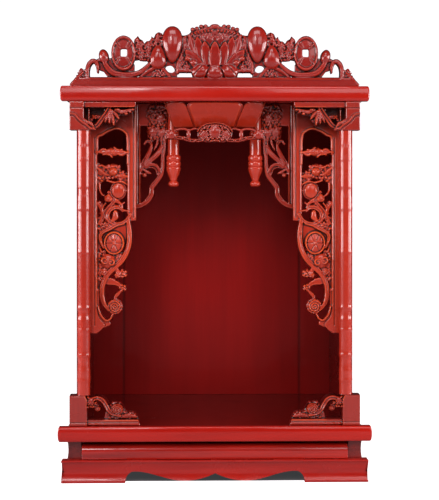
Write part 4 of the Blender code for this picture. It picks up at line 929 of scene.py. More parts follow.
def carve_field(forms, us, vs):
    """Distance inside the carving and height off its back over a grid."""
    inside = np.full((len(vs), len(us)), -1e3)
    high = np.zeros((len(vs), len(us)))
    for form in forms:
        shape = form.form if isinstance(form, Hole) else form
        low, top = shape.reach()
        c0, c1 = np.searchsorted(us, (low[0], top[0]))
        r0, r1 = np.searchsorted(vs, (low[1], top[1]))
        if c1 <= c0 or r1 <= r0:
            continue
        window = (slice(r0, r1), slice(c0, c1))
        u, v = np.meshgrid(us[c0:c1], vs[r0:r1])
        own, own_high = shape.field(u, v)
        if isinstance(form, Groove):
            high[window] = np.where(own > 0, np.maximum(high[window] - own_high, 2.4), high[window])
        elif isinstance(form, Hole):
            inside[window] = np.minimum(inside[window], -own)
            high[window] = np.where(own > 0, 0, high[window])
        else:
            high[window] = np.where(own > 0, np.maximum(high[window], own_high), high[window])
            inside[window] = np.maximum(inside[window], own)
    return inside, high


def blurred(values, weight, steps):
    """A box blur of the carved area alone, repeated."""
    for _ in range(steps):
        for axis in (0, 1):
            total = (np.roll(values * weight, 1, axis) + values * weight + np.roll(values * weight, -1, axis))
            count = np.roll(weight, 1, axis) + weight + np.roll(weight, -1, axis)
            values = np.where(count > 0, total / np.maximum(count, 1e-9), values)
    return values


def largest_part(solid):
    """The mask of the biggest connected area."""
    label = np.zeros(solid.shape, int)
    best, best_size, current = 0, 0, 0
    for start in zip(*np.nonzero(solid)):
        if label[start]:
            continue
        current += 1
        label[start] = current
        queue = deque([start])
        size = 0
        while queue:
            r, c = queue.popleft()
            size += 1
            for nr, nc in ((r + 1, c), (r - 1, c), (r, c + 1), (r, c - 1)):
                if 0 <= nr < solid.shape[0] and 0 <= nc < solid.shape[1]:
                    if solid[nr, nc] and not label[nr, nc]:
                        label[nr, nc] = current
                        queue.append((nr, nc))
        if size > best_size:
            best, best_size = current, size
    return label == best


CORNERS = {1: [("a", "ab", "da")], 2: [("b", "bc", "ab")], 3: [("a", "b", "bc", "da")],
           4: [("c", "cd", "bc")], 5: [("a", "ab", "da"), ("c", "cd", "bc")], 6: [("b", "c", "cd", "ab")],
           7: [("a", "b", "c", "cd", "da")], 8: [("d", "da", "cd")], 9: [("a", "ab", "cd", "d")],
           10: [("b", "bc", "ab"), ("d", "da", "cd")], 11: [("a", "b", "bc", "cd", "d")],
           12: [("c", "d", "da", "bc")], 13: [("a", "ab", "bc", "c", "d")],
           14: [("b", "c", "d", "da", "ab")]}


def relief(forms, low, top, cell, clip, mirrored):
    """A carved board over a grid: distance inside its edge, wood or not, height, and how far each
    spot is sunk below or proud of what lies round it."""
    us = np.arange(low[0] - 2 * cell, top[0] + 3 * cell, cell) + cell * 0.013
    if mirrored:
        us = np.arange(0, top[0] + 3 * cell, cell) + cell * 0.5
    vs = np.arange(low[1] - 2 * cell, top[1] + 3 * cell, cell) + cell * 0.017
    inside, high = carve_field(forms, us, vs)
    if mirrored:
        us = np.concatenate((-us[::-1], us))
        inside = np.hstack((inside[:, ::-1], inside))
        high = np.hstack((high[:, ::-1], high))
    (cu0, cu1), (cv0, cv1) = clip
    u, v = np.meshgrid(us, vs)
    edge = np.minimum(np.minimum(u - cu0, cu1 - u), np.minimum(v - cv0, cv1 - v))
    inside = np.minimum(inside, edge)
    solid = largest_part(inside > 0)
    inside = np.where(solid, np.maximum(inside, 1e-3), np.minimum(inside, -1e-3))
    weight = solid.astype(float)
    high = np.where(solid, np.maximum(high, 2.2), 0)
    high = blurred(high, weight, 1)
    wide = blurred(high, weight, max(3, int(2.2 / cell)))
    sunk = np.clip((wide - high) / 1.6, 0, 1)
    proud = np.clip((high - wide) / 1.8, 0, 1)
    rim = np.clip(inside / 0.9, 0, 1)
    high = np.where(solid, high - 1.1 * (1 - np.sqrt(1 - (1 - rim) ** 2)), 0)
    return us, vs, inside, solid, np.maximum(high, 1.2), sunk, proud


def flat_back(name, points, rims):
    """Triangles that fill a flat outline with openings, given by its points and its edges."""
    out, _, triangles, *_ = delaunay_2d_cdt(points, rims, [], 0, 1e-7)
    if len(out) != len(points):
        raise ValueError(name + ": the back's outline crosses itself")
    middles = np.array([[sum(points[i][k] for i in t) / 3 for k in (0, 1)] for t in triangles])
    odd = np.zeros(len(middles), bool)
    for i, j in rims:
        a, b = points[i], points[j]
        crosses = (a[1] > middles[:, 1]) != (b[1] > middles[:, 1])
        rise = b[1] - a[1] if abs(b[1] - a[1]) > 1e-12 else 1e-12
        odd ^= crosses & (middles[:, 0] < a[0] + (middles[:, 1] - a[1]) * (b[0] - a[0]) / rise)
    return [triangle for triangle, kept in zip(triangles, odd) if kept]


def carve(name, forms, low, top, place, cell, material, nodes, clip, mirrored=False):
    """A carved board as a closed mesh: relief in front, flat behind, walls between.

    low and top bound the drawing, clip is the board's own edge, and place turns a point of the
    drawing and a height off the back into a point in space. cell is the mesh's spacing.
    """
    us, vs, inside, solid, high, sunk, proud = relief(forms, low, top, cell, clip, mirrored)
    code = (solid[:-1, :-1] * 1 + solid[:-1, 1:] * 2 + solid[1:, 1:] * 4 + solid[1:, :-1] * 8)
    ids = -np.ones(solid.shape, int)
    ids[solid] = np.arange(solid.sum())
    rows, cols = np.nonzero(solid)
    plan = [(us[c], vs[r]) for r, c in zip(rows, cols)]
    lift = list(high[solid])
    hollow = list(sunk[solid])
    ridge = list(proud[solid])
    r, c = np.nonzero(code == 15)
    faces = list(zip(ids[r, c], ids[r, c + 1], ids[r + 1, c + 1], ids[r + 1, c]))
    crossing = {}

    def cross(p, q):
        key = (p, q) if p < q else (q, p)
        if key not in crossing:
            fp, fq = inside[p], inside[q]
            t = min(max(fp / (fp - fq), 0.12), 0.88)
            spot = (us[p[1]] + t * (us[q[1]] - us[p[1]]), vs[p[0]] + t * (vs[q[0]] - vs[p[0]]))
            home = p if solid[p] else q
            crossing[key] = len(plan)
            plan.append(spot)
            lift.append(max(high[home] - 0.7, 1.0))
            hollow.append(sunk[home] * 0.6)
            ridge.append(0.0)
        return crossing[key]

    walls = []
    for row, col in zip(*np.nonzero((code > 0) & (code < 15))):
        at = {"a": (row, col), "b": (row, col + 1), "c": (row + 1, col + 1), "d": (row + 1, col)}
        for outline in CORNERS[int(code[row, col])]:
            ring = []
            for mark in outline:
                if len(mark) == 1:
                    ring.append((int(ids[at[mark]]), False))
                else:
                    ring.append((cross(at[mark[0]], at[mark[1]]), True))
            faces.append(tuple(i for i, _ in ring))
            for (i, cut_i), (j, cut_j) in zip(ring, ring[1:] + ring[:1]):
                if cut_i and cut_j:
                    walls.append((i, j))
    front = len(plan)
    edge_ids = sorted({i for wall in walls for i in wall})
    behind = {i: front + k for k, i in enumerate(edge_ids)}
    verts = [place(u, v, h) for (u, v), h in zip(plan, lift)]
    verts += [place(plan[i][0], plan[i][1], 0.0) for i in edge_ids]
    faces = [tuple(int(i) for i in f) for f in faces]
    faces += [(j, i, behind[i], behind[j]) for i, j in walls]
    order = {i: k for k, i in enumerate(edge_ids)}
    flat = [Vector(plan[i]) for i in edge_ids]
    rims = [(order[i], order[j]) for i, j in walls]
    faces += [(front + k, front + j, front + i) for i, j, k in flat_back(name, flat, rims)]
    mesh = bpy.data.meshes.new(name)
    mesh.from_pydata(verts, [], faces)
    # Shares of painted shade for the hollows, 0.35 along the back of the cut walls, and of painted highlight
    # for the ridges.
    shade = np.concatenate((hollow, np.full(len(edge_ids), 0.35)))
    for key, values in (("hollow", shade), ("ridge", np.concatenate((ridge, np.zeros(len(edge_ids)))))):
        layer = mesh.attributes.new(key, "FLOAT", "POINT")
        layer.data.foreach_set("value", values.astype(np.float32))
    bm = bmesh.new()
    bm.from_mesh(mesh)
    if bm.calc_volume(signed=True) < 0:
        bmesh.ops.reverse_faces(bm, faces=bm.faces)
    bm.to_mesh(mesh)
    bm.free()
    return dress(name, mesh, material, "cabinet", nodes, 48)


def on_board(node, units, side, inner_is_zero):
    """Drawing units to a point on the board that a CAD node takes up, its back at the node's back."""
    low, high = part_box(node)
    across = (high[0] - low[0]) / units[0]
    up = (high[2] - low[2]) / units[1]
    if inner_is_zero:
        start = low[0] if side > 0 else high[0]
        step = across * side
    else:
        start = high[0] if side > 0 else low[0]
        step = -across * side

    def place(u, v, h):
        return (start + u * step, high[1] - h * MM, low[2] + v * up)
    return place


WITHIN = 0.01             # how far a carved board's edge stays inside its solid's, in drawing units


def carve_pair(stem, forms, units, inner_is_zero, cell, material):
    """A board's left and right carving, drawn once from the outer edge or from the inner one."""
    for side, end in ((-1, "_left"), (1, "_right")):
        node = stem + end
        carve(node + "_carved", forms, (0, 0), units, on_board(node, units, side, inner_is_zero), cell,
              material, [node], ((WITHIN, units[0] - WITHIN), (WITHIN, units[1] - WITHIN)))


BASE_UNITS = (70.5, 31.1)
BASE_STEM = [(19.0, 25.0), (23.4, 27.2), (28.4, 28.0), (32.8, 25.8), (36.0, 21.0), (38.8, 15.8), (43.0, 12.0),
             (50.0, 10.0)]
BASE_STEM_HALF = [2.0, 2.7, 2.9, 2.8, 2.4, 1.8]
BASE_ROSE = (47.0, 15.8), (6.6, 6.2)
BASE_BRACKET = [
    Plate([(0, 0), (0, 31.1), (15.4, 31.1), (17.4, 27.0), (17.5, 0)], 24),
    Plate([(0, 0), (0, 5.8), (68.6, 5.8), (70.5, 0)], 20),
    Plate([(14, 30.0), (19.5, 30.0), (24.5, 28.4), (27.0, 23.0), (29.5, 19.5), (25, 17.0), (20.5, 18.4),
           (14, 19.0)], 15, True),
    Dome((20.6, 24.6), (4.8, 5.2), 21, 10),
    Stroke(BASE_STEM, BASE_STEM_HALF, 21, 9),
    Dome((27.8, 16.8), (3.8, 3.4), 17, 8),
    Plate([(33.5, 5), (35.4, 12.5), (38.8, 17.0), (41, 21.0), (44, 24.0), (47.6, 23.0), (50.2, 23.4),
           (53.4, 19.4), (55.6, 14.6), (58.6, 12.4), (62.0, 13.6), (65.0, 12.2), (67.4, 8.6),
           (69.2, 5)], 12),
    Dome(*BASE_ROSE, 22, 11),
    Stroke([(52, 8.6), (59, 9.8), (66.5, 8.4)], [1.6, 2.6, 1.2], 16, 10),
]
BASE_BRACKET += foliage([(15, 29.4), (24, 28), (27, 22), (23, 18.4), (15.5, 19.5)], 2.7, 23.5, 16)
BASE_BRACKET += foliage([(36, 6.5), (38, 14), (41, 20), (44, 23), (50.5, 22), (54, 17), (56, 13), (65, 12),
                         (68, 6.5)], 2.9, 16.5, 11)
BASE_BRACKET += [
    Stroke(BASE_STEM, BASE_STEM_HALF, 22, 12),
    Groove(BASE_STEM[1:-1], 0.8, 1.6),
    Dome(*BASE_ROSE, 23, 12),
    Groove(spiral(BASE_ROSE[0], 5.2, 0.7, 2.3, 40), 0.5, 2.0),
    Groove(spiral((27.8, 16.8), 2.8, 0.4, 1.4), 0.45, 1.6),
    Groove([(0.5, 3.4), (35, 3.4), (69, 3.4)], 0.5, 1.4),
    Dome((20, 1.6), (2.6, 0.9), 21.5, 18),
    Dome((27, 1.6), (3.6, 0.9), 21.5, 18),
    Dome((35, 1.5), (2.0, 0.9), 21.5, 18),
]
BASE_BRACKET += spokes(*BASE_ROSE, 5, 0.62, 20)
carve_pair("base_bracket", BASE_BRACKET, BASE_UNITS, False, 0.32, carved_red)


# Capital brackets: the same carved and lacquered work upside down, block and scroll in one piece,
# glued on each post's head under the roof board. A stem and a fan of hanging leaves run inwards.

CAPITAL_UNITS = (65.9, 28.8)
CAPITAL_BRACKET = [
    Plate([(0, 0), (0, 28.8), (14.2, 28.8), (14.2, 12.2), (18.0, 9.6), (22.0, 8.4), (24.4, 3.4),
           (26.0, 0)], 24),
    Plate([(0, 22.9), (0, 28.8), (65.9, 28.8), (65.5, 24.8), (63.8, 22.9)], 20),
    Stroke([(18.6, 24), (18.6, 8)], [1.0, 1.0], 12, 8),
    Stroke([(20, 8), (23.6, 13.2), (28.0, 13.4), (33, 13.2)], [1.4, 2.4, 1.6], 13, 8),
    Stroke([(17.5, 6.0), (22.0, 3.4), (26.8, 5.0), (31.4, 10.6), (35.4, 16.2), (39.4, 23.0)],
           [1.8, 2.6, 3.0, 2.8, 2.2], 19, 8),
    Plate([(36, 24), (33.9, 15), (32.6, 8.0), (36.2, 8.8), (39, 6.6), (41.4, 7.4), (43.5, 4.2),
           (46.0, 8.0), (49.6, 11.6), (49.4, 14.6), (52.0, 15.2), (55.7, 14.6), (59.0, 16.8),
           (62.4, 18.6), (65.2, 24)], 10, True),
    Dome((40.2, 13.4), (5.2, 7.4), 18, 9),
    Stroke([(45.5, 20.5), (52, 18.8), (60.5, 20.8)], [1.8, 2.2, 1.2], 16, 10),
]
CAPITAL_BRACKET += foliage([(13.5, 10.5), (19, 8.6), (23.5, 6.5), (24.5, 0.8), (15.5, 0.8)], 2.5, 26, 21)
CAPITAL_BRACKET += [
    Stroke([(0.8, 16.8), (5.8, 15.6), (9.0, 11.8), (13.0, 8.2), (17.0, 5.6), (22.0, 1.4)],
           [0.8, 1.1, 1.3, 1.0], 26.4, 22.5),
    Groove([(0.8, 14.6), (4.8, 13.6), (8.0, 9.8), (12.0, 6.2), (16.0, 3.6), (19.5, 0.6)], 0.5, 1.4),
    Dome((24.0, 13.3), (3.0, 3.0), 17, 9, 45, 4, 0.4),
    Groove([(18.7, 5.5), (22.0, 3.4), (26.8, 5.0), (31.4, 10.6), (35.4, 16.2), (39.0, 22.0)], 0.8, 2.0),
    Stroke([(39.9, 20.6), (37.6, 14.0), (35.0, 8.6)], [0.8, 2.0, 0.9], 19.5, 12, "leaf"),
    Stroke([(40.2, 20.6), (39.7, 14.0), (39.3, 7.6)], [0.8, 2.0, 0.9], 20.5, 12, "leaf"),
    Stroke([(40.4, 20.6), (42.4, 13.0), (43.6, 5.6)], [0.8, 2.2, 0.9], 20, 12, "leaf"),
    Stroke([(41.0, 20.6), (45.4, 16.0), (48.6, 11.8)], [0.8, 2.2, 0.9], 18, 11, "leaf"),
    Dome((47.6, 20.6), (2.4, 1.9), 17.5, 11),
    Dome((51.4, 17.9), (2.4, 1.8), 16.5, 10, 30, 4, 0.2),
    Dome((55.8, 16.9), (2.0, 1.8), 17.5, 10),
    Dome((59.6, 19.0), (2.4, 1.7), 16.5, 10, -30, 4, 0.2),
    Dome((62.6, 21.0), (1.7, 1.5), 17, 10),
    Groove([(0.6, 22.4), (30, 22.4), (65, 22.4)], 0.45, 1.4),
]
carve_pair("capital_bracket", CAPITAL_BRACKET, CAPITAL_UNITS, False, 0.32, carved_red)


# Side panels: tall openwork boards of lacquered wood, fixed behind the posts. An arched frame is filled
# with scrolls, balls, a flower wheel and blossoms on one long S-shaped rib, ending in a curled foot.

# The panels are painted darker towards their tops, as painted shade under the capitals and the roof board;
# their hollows take painted shade and their ridges a painted highlight.
panel_red = lacquer("panel_lacquer", (0.62, 0.044, 0.016, 1.0), (0.24, 0.011, 0.005, 1.0), "Z",
                    hollow=CARVED_PAINTED_SHADE, gloss=0.22, contrast=0.8, shine=(0.3, 0.6),
                    painted_shade=((0, 0, 0.30), (0, 0, 1), 0.226, 0.247, 0.82))
PANEL_UNITS = (55.2, 231.2)
PANEL_WHEEL = (22.0, 90.6)
PANEL_ROSE = (21.3, 27.0)
SIDE_PANEL = [
    Plate([(0, 113), (0, 231.2), (55.2, 231.2), (55.2, 0), (38.6, 0), (38.6, 196), (37.3, 197.2),
           (33.8, 198.7), (29.8, 200.5), (26.8, 202.9), (22.8, 204.9), (18.8, 205.1), (14.8, 203.9),
           (11.3, 201.5), (9.2, 198.5), (8.7, 195), (8.7, 119.5), (9.8, 115.5), (12.8, 112)], 8),
    Stroke([(38.6, 180), (38.4, 195.5), (33.8, 198.7), (26.8, 202.9), (18.8, 205.1), (11.3, 201.5),
            (8.7, 195), (8.5, 170)], [1.2, 1.2], 11, 8),
    Stroke([(40, 181.4), (32, 181.4), (23.4, 181.5), (15, 181.4), (7.5, 181.4)],
           [0.9, 3.2, 5.2, 3.2, 0.9], 12, 5),
    Plate([(39.5, 169.5), (35.8, 170), (31.8, 166.5), (26.8, 167.5), (24.8, 170), (18.8, 169),
           (15.8, 165), (13.8, 161.5), (7.5, 160.5), (7.5, 152.5), (13.8, 151), (17.8, 153.5),
           (22.3, 155.5), (27.8, 155), (32.3, 152.5), (35.8, 148), (39.5, 146.5)], 6.5, True),
    Stroke([(38.8, 166), (34, 161.5), (29, 158.5)], [1.0, 2.4, 1.0], 11, 6),
    Stroke([(8.4, 157), (13, 157.5), (18.5, 158)], [1.0, 2.2, 1.0], 11, 6),
    Stroke([(22, 167.5), (29, 166), (34.5, 168.5)], [1.0, 1.6, 1.0], 10, 6),
    Stroke([(36.4, 150), (36.2, 143.5), (33.8, 139.0), (29.8, 137.0)], [1.4, 1.2, 1.2], 9, 5),
    Stroke([(29, 153), (21, 151), (14.5, 152), (9, 149)], [1.3, 1.6, 1.4, 1.0], 10, 5),
    Dome((17.8, 143.0), (8.2, 9.2), 12, 6),
    Stroke([(10.5, 143), (7.5, 143)], [1.2, 1.2], 8, 5),
    Dome((27.6, 135.2), (4.6, 4.4), 13, 6),
    Stroke([(27.3, 141.5), (23.8, 136.5), (21.2, 133.7), (25.3, 128.5), (30.4, 122.5), (34, 113)],
           [1.6, 2.0, 2.2, 2.0, 1.7], 10.5, 5),
    Stroke([(39.0, 131), (35.0, 125.5), (33.6, 118.5), (36.5, 110)], [1.6, 2.3, 1.8], 9.5, 5),
    Stroke([(13.3, 123.0), (16.8, 125.7), (21.8, 125.9), (26.3, 123.0), (28.3, 118.5), (27.3, 114.0),
            (23.3, 110.7), (18.3, 109.7), (13.3, 111.0), (9.3, 114.0), (6, 119)],
           [1.5, 2.3, 2.4, 2.3, 2.1, 1.8], 12, 5),
    Dome((20.6, 117.6), (3.6, 4.6), 12.5, 5, -20),
    Stroke([(30.4, 130.5), (33.5, 125.5), (32.8, 119.5), (29.3, 113.5), (23.8, 109)],
           [1.1, 1.3, 1.3], 10, 5),
    Stroke([(20.2, 134.5), (14.8, 129.5), (13.3, 124.0), (7.5, 122.5)], [1.3, 1.4, 1.2], 10, 5),
    Plate([(39.5, 118), (36, 113), (30, 111), (24, 108.5), (13, 112), (8, 112), (6, 107), (6, 100),
           (9, 93), (12, 86), (16, 83), (24, 81), (30, 82), (35, 86), (39.5, 86)], 5.5, True),
    Dome((29.3, 108.0), (6.2, 4.4), 11, 5, 20, 7, 0.2),
    Stroke([(12.8, 110.0), (19.8, 108.5), (26.3, 105.0), (32.8, 101.7), (35.8, 97.5), (35.0, 92.0),
            (32.3, 86)], [1.4, 1.9, 1.9, 1.8, 1.4], 11.5, 5),
    Dome(PANEL_WHEEL, (10.2, 11.4), 9, 8.5),
    Rim(PANEL_WHEEL, (9.2, 10.4), 1.1, 12.5, 8.5),
    Dome(PANEL_WHEEL, (7.2, 8.2), 12.5, 8.8),
    Plate([(39.5, 87), (34, 84), (31, 81), (26, 82), (14, 82), (9, 80), (13, 72), (21.8, 65),
           (27.8, 59), (32, 52), (35, 46), (39.5, 44)], 5.5, True),
    Dome((28.2, 72.5), (7.6, 7.4), 12.5, 6),
    Dome((32.4, 61.5), (3.8, 3.8), 11, 6),
    Stroke([(8.5, 114.5), (7.0, 107.5), (6.3, 99.5), (6.9, 89.5), (9.6, 80.5), (14.6, 72.5),
            (21.3, 66.0), (27.8, 59.5), (32.1, 52.0), (33.8, 43.5), (33.2, 35.0), (30.8, 28.5),
            (26.8, 24.0)], [2.2, 2.9, 3.0, 2.9, 2.7, 2.3], 12.5, 5),
    Stroke([(20.0, 66.0), (17.6, 60.5), (13.1, 59.9)], [2.4, 3.6, 2.6], 10, 4),
    Dome((13.1, 59.9), (4.9, 4.9), 11.5, 5, 0, 5, 0.16),
    Stroke([(33, 51.5), (27, 51.2), (19.8, 50.4), (13.6, 45.9)], [1.6, 3.2, 3.0, 1.8], 9.5, 4),
    Dome((13.4, 45.8), (4.3, 4.3), 11.5, 5, 0, 5, 0.16),
    Stroke([(13.3, 44.5), (17.3, 40.5), (20.6, 36.5), (20.9, 30)], [1.1, 2.3, 1.3], 9, 4),
    Plate([(39.5, 46), (36.5, 44), (37.0, 30), (37.3, 24.5), (35.6, 18.5), (30.3, 14), (25.8, 15.6),
           (23.9, 18.5), (22.5, 16), (25.9, 12.5), (25.6, 8.4), (31.3, 5.9), (33.8, 4.3),
           (37.9, 1.1), (42.2, 0)], 8),
    Stroke([(37.6, 27.0), (35.4, 19.4), (30.3, 13.4), (25.8, 14.8), (23.6, 19)], [1.2, 1.5, 1.2],
           11, 6),
]
SIDE_PANEL += foliage([(37.5, 168.5), (31.5, 167), (27, 168), (24.5, 170), (18.5, 168), (15.5, 164),
                      (9.3, 160.5), (9.3, 153.5), (16, 152.5), (22, 156), (28, 155.5), (33, 153),
                      (38, 149)], 3.3, 10.6, 6)
SIDE_PANEL += foliage([(37.5, 110), (30, 111.5), (24, 108.5), (31, 104), (35, 99), (37.6, 101)], 3.0, 10, 5.5)
SIDE_PANEL += foliage([(37.5, 86), (34, 83), (28, 81), (18, 80), (14, 78), (19, 71), (24, 66), (30, 58),
                       (34, 54), (37.5, 52)], 3.0, 9.2, 5.5)
SIDE_PANEL += foliage([(37.6, 134), (33, 128), (30.5, 119), (33, 110), (37.6, 106)], 3.1, 9.4, 5)
SIDE_PANEL += [
    Stroke([(39.4, 26), (39.4, 110), (39.4, 194)], [0.6, 0.6], 9.6, 7.5, "round"),
    Groove([(41.4, 8), (41.4, 110), (41.4, 196)], 0.5, 1.4),
    Stroke([(1.0, 116), (1.0, 170), (1.0, 228)], [0.9, 0.9], 9.4, 7.5, "round"),
    Groove([(2.6, 116), (2.6, 170), (2.6, 228)], 0.45, 1.2),
    Stroke([(8.0, 120), (8.0, 150), (8.0, 196)], [0.6, 0.6], 9.6, 7.5, "round"),
    Dome((23.4, 181.5), (3.4, 3.0), 14, 10, 0, 6, 0.2),
    Dome((29.6, 181.4), (2.6, 1.9), 13, 9, 0, 4, 0.25),
    Dome((17.2, 181.4), (2.6, 1.9), 13, 9, 0, 4, 0.25),
    Groove([(38, 182.6), (31, 184.2), (23.4, 185.4), (16, 184.2), (9, 182.6)], 0.4, 1.6),
    Groove([(38, 180.2), (31, 178.6), (23.4, 177.4), (16, 178.6), (9, 180.2)], 0.4, 1.6),
    Dome((22.9, 162.0), (4.6, 4.6), 15, 7),
    Stroke([(20.6, 121.2), (20.9, 116.4), (24.6, 111.6)], [2.8, 3.6, 1.6], 12.5, 6, "round"),
    Groove(oval((17.9, 143.0), (6.9, 7.9)), 0.4, 2.6),
    Stroke([(38, 181.4), (33, 184.2), (29, 183.0)], [0.8, 1.5, 0.8], 13, 9, "leaf"),
    Stroke([(9, 181.4), (14, 178.6), (18, 179.8)], [0.8, 1.5, 0.8], 13, 9, "leaf"),
    Stroke([(33, 178.8), (28, 179.6), (24, 176.6)], [0.8, 1.4, 0.8], 12.5, 9, "leaf"),
    Stroke([(14, 184.0), (18, 183.4), (22, 186.2)], [0.8, 1.4, 0.8], 12.5, 9, "leaf"),
    Dome((27.6, 135.2), (4.6, 4.4), 14, 8, 90, 3, 0.14),
    Stroke([(24, 131.6), (19.5, 132.4), (14.6, 129.0)], [1.0, 2.3, 0.9], 10, 6, "leaf"),
    Stroke([(22, 128.6), (17.0, 127.6), (12.0, 131.0)], [0.9, 1.9, 0.9], 9, 5.5, "leaf"),
    Groove([(27.3, 141.5), (23.8, 136.5), (21.6, 133.2), (25.3, 128.5), (30.4, 122.5), (34, 113)], 0.5, 1.6),
    Groove([(13.3, 123.0), (16.8, 125.7), (21.8, 125.9), (26.3, 123.0), (28.3, 118.5), (27.3, 114.0),
            (23.3, 110.7), (18.3, 109.7), (13.3, 111.0), (9.3, 114.0), (6, 119)], 0.6, 1.5),
    Groove([(12.8, 110.0), (19.8, 108.5), (26.3, 105.0), (32.8, 101.7), (35.8, 97.5), (35.0, 92.0)],
           0.5, 1.5),
    Groove([(8.6, 109.5), (7.2, 99.5), (7.9, 90.5), (10.6, 81.5), (15.6, 73.5), (22.3, 67.0), (28.8, 60.5),
            (33.2, 53.0), (34.9, 43.5), (34.3, 35.0), (31.9, 28.5)], 0.55, 2.0),
    Dome(PANEL_WHEEL, (8.6, 9.8), 12.0, 8.5),
    Groove(oval(PANEL_WHEEL, (8.4, 9.6)), 0.4, 2.0),
    Dome(PANEL_WHEEL, (1.5, 1.7), 14.0, 10),
    Stroke(spiral((31.2, 73.6), 3.9, 1.0, 1.25, 200), [1.2, 1.2], 13.5, 7, "round"),
    Stroke(spiral((24.8, 71.0), 3.9, 1.0, 1.25, 20), [1.2, 1.2], 13.5, 7, "round"),
    Groove(spiral((32.4, 61.5), 2.8, 0.4, 1.4), 0.45, 2.0),
    Dome((18.6, 58.4), (3.8, 3.6), 12.5, 6, 0, 5, 0.2, 1.5),
    Groove(spiral((13.1, 59.9), 3.4, 0.4, 1.5, 60), 0.45, 2.0),
    Groove(spiral((13.4, 45.8), 3.0, 0.4, 1.4, 200), 0.45, 2.0),
    Stroke([(31, 53.4), (26, 54.4), (21.5, 53.6)], [1.0, 1.8, 0.9], 9.5, 5, "leaf"),
    Dome(PANEL_ROSE, (8.1, 8.1), 14, 6),
    Groove(spiral(PANEL_ROSE, 6.9, 0.6, 2.7, 100), 0.55, 2.2),
    Groove([(38.6, 42), (38.6, 30), (37.0, 17), (31, 9), (34, 4)], 0.5, 1.4),
]
SIDE_PANEL += spokes(PANEL_WHEEL, (7.9, 9.1), 6, 0.24)
SIDE_PANEL += spokes(PANEL_ROSE, (8.0, 8.0), 6, 0.7, 15)
carve_pair("side_panel", SIDE_PANEL, PANEL_UNITS, True, 0.42, panel_red)


# Spandrels: carved and lacquered boards fixed deeper in, beside the canopy. Each has a flat stile and
# top rail, and feathery scrolls that fan out to a rimmed arch.

SPANDREL_UNITS = (32.4, 106.4)
SPANDREL_TALL = 166.8 * MM
SPANDREL = [
    Plate([(0, 1.5), (0, 106.4), (15.2, 106.4), (15.2, 84), (5.9, 84), (5.9, 3)], 8),
    Plate([(12.6, 106.4), (32.4, 106.4), (32.4, 68), (31.2, 64.8), (27.2, 66.8), (22.2, 69.8),
           (16.7, 67.8), (12.8, 71.8), (11.6, 78.8), (13, 88), (11.8, 97)], 7),
    Stroke([(30, 104), (22, 99), (17.5, 91), (19, 84)], [1.6, 2.8, 2.4, 1.2], 10, 6),
    Dome((25.6, 92.0), (4.8, 5.2), 12, 7),
    Dome((18.0, 77.5), (5.0, 5.0), 12, 7),
    Dome((27.0, 76.5), (4.8, 5.0), 12, 7),
    Stroke([(9.5, 66.0), (11.9, 68.8), (14.9, 68.2), (16.4, 64.6), (14.8, 59.6), (12.0, 54.0),
            (8.7, 48.4), (5, 42)], [1.3, 1.8, 2.2, 2.0], 9.5, 4),
    Stroke([(27.0, 71.0), (27.6, 66.4), (26.0, 60.6), (22.0, 55.3), (16.0, 49.8), (10.0, 44.0),
            (5, 38.8)], [2.2, 3.0, 3.2, 2.8, 1.8], 11, 4),
    Stroke([(5, 38.2), (11.2, 42.4), (17.0, 43.6), (21.4, 41.0), (22.8, 36.8), (24.5, 32)],
           [1.8, 2.2, 2.0, 1.6], 9.5, 4),
    Stroke([(4, 37.3), (9.4, 34.8)], [1.6, 1.6], 8.5, 4),
    Dome((9.6, 34.6), (2.9, 2.9), 12, 4),
    Stroke([(29.4, 74.0), (29.0, 62.0), (27.8, 52.0), (27.6, 43.5), (26.0, 35.0), (21.0, 27.8),
            (16.8, 22.0), (16.2, 15.0), (12.0, 8.6), (6.5, 4.8), (1.0, 3.0)],
           [2.0, 2.4, 2.8, 3.1, 2.6], 11, 5),
]
SPANDREL += foliage([(13.4, 105), (31.6, 105), (31.6, 67.5), (27, 68.5), (22, 71), (17, 69.4), (13.6, 73),
                    (12.6, 79), (14, 88), (12.8, 97)], 3.6, 13, 7)
SPANDREL += [
    Stroke([(4.9, 6), (4.9, 46), (4.9, 84)], [0.8, 0.8], 9.8, 7.5, "round"),
    Groove([(3.2, 6), (3.2, 50), (3.2, 104)], 0.5, 1.2),
    Groove([(11.9, 68.4), (14.9, 68.2), (16.2, 64.6), (14.8, 59.6), (12.0, 54.0), (8.7, 48.4)], 0.6, 2.0),
    Groove([(27.4, 69), (26.9, 62.6), (22.8, 56.8), (16.6, 51.2), (10.0, 45.4)], 0.6, 2.0),
    Groove([(25.4, 66), (24.6, 60.2), (20.8, 54.6), (15.4, 48.6), (9.6, 42.8)], 0.5, 1.6),
    Groove([(8, 40.6), (11.6, 42.2), (17.0, 43.4), (21.2, 40.8), (22.6, 36.8)], 0.6, 1.8),
    Groove([(28.6, 74.0), (28.0, 62.0), (26.9, 52.0), (26.7, 43.5), (25.2, 36.0), (20.2, 28.8),
            (15.9, 23.0), (15.2, 15.4), (11.0, 9.6)], 0.5, 1.6),
    Stroke([(22.6, 73), (22.0, 66), (19.0, 60)], [1.0, 1.7, 0.8], 10, 5, "leaf"),
    Stroke([(9.4, 46.0), (12.6, 52.6), (15.6, 59.0), (16.8, 65.0)], [1.6, 1.9, 1.9, 1.2], 11, 5, "gutter"),
    Stroke([(10.4, 44.6), (17.0, 50.4), (23.4, 56.2), (27.6, 64.0)], [1.8, 2.1, 2.0, 1.4], 11.5, 5, "gutter"),
    Stroke([(10.6, 42.8), (16.0, 45.4), (21.6, 44.0), (25.2, 38.4)], [1.6, 2.0, 1.9, 1.2], 11.5, 5, "gutter"),
    Stroke([(8.4, 40.2), (12.6, 37.6), (15.6, 36.4)], [1.2, 2.3, 1.0], 11, 5, "leaf"),
]
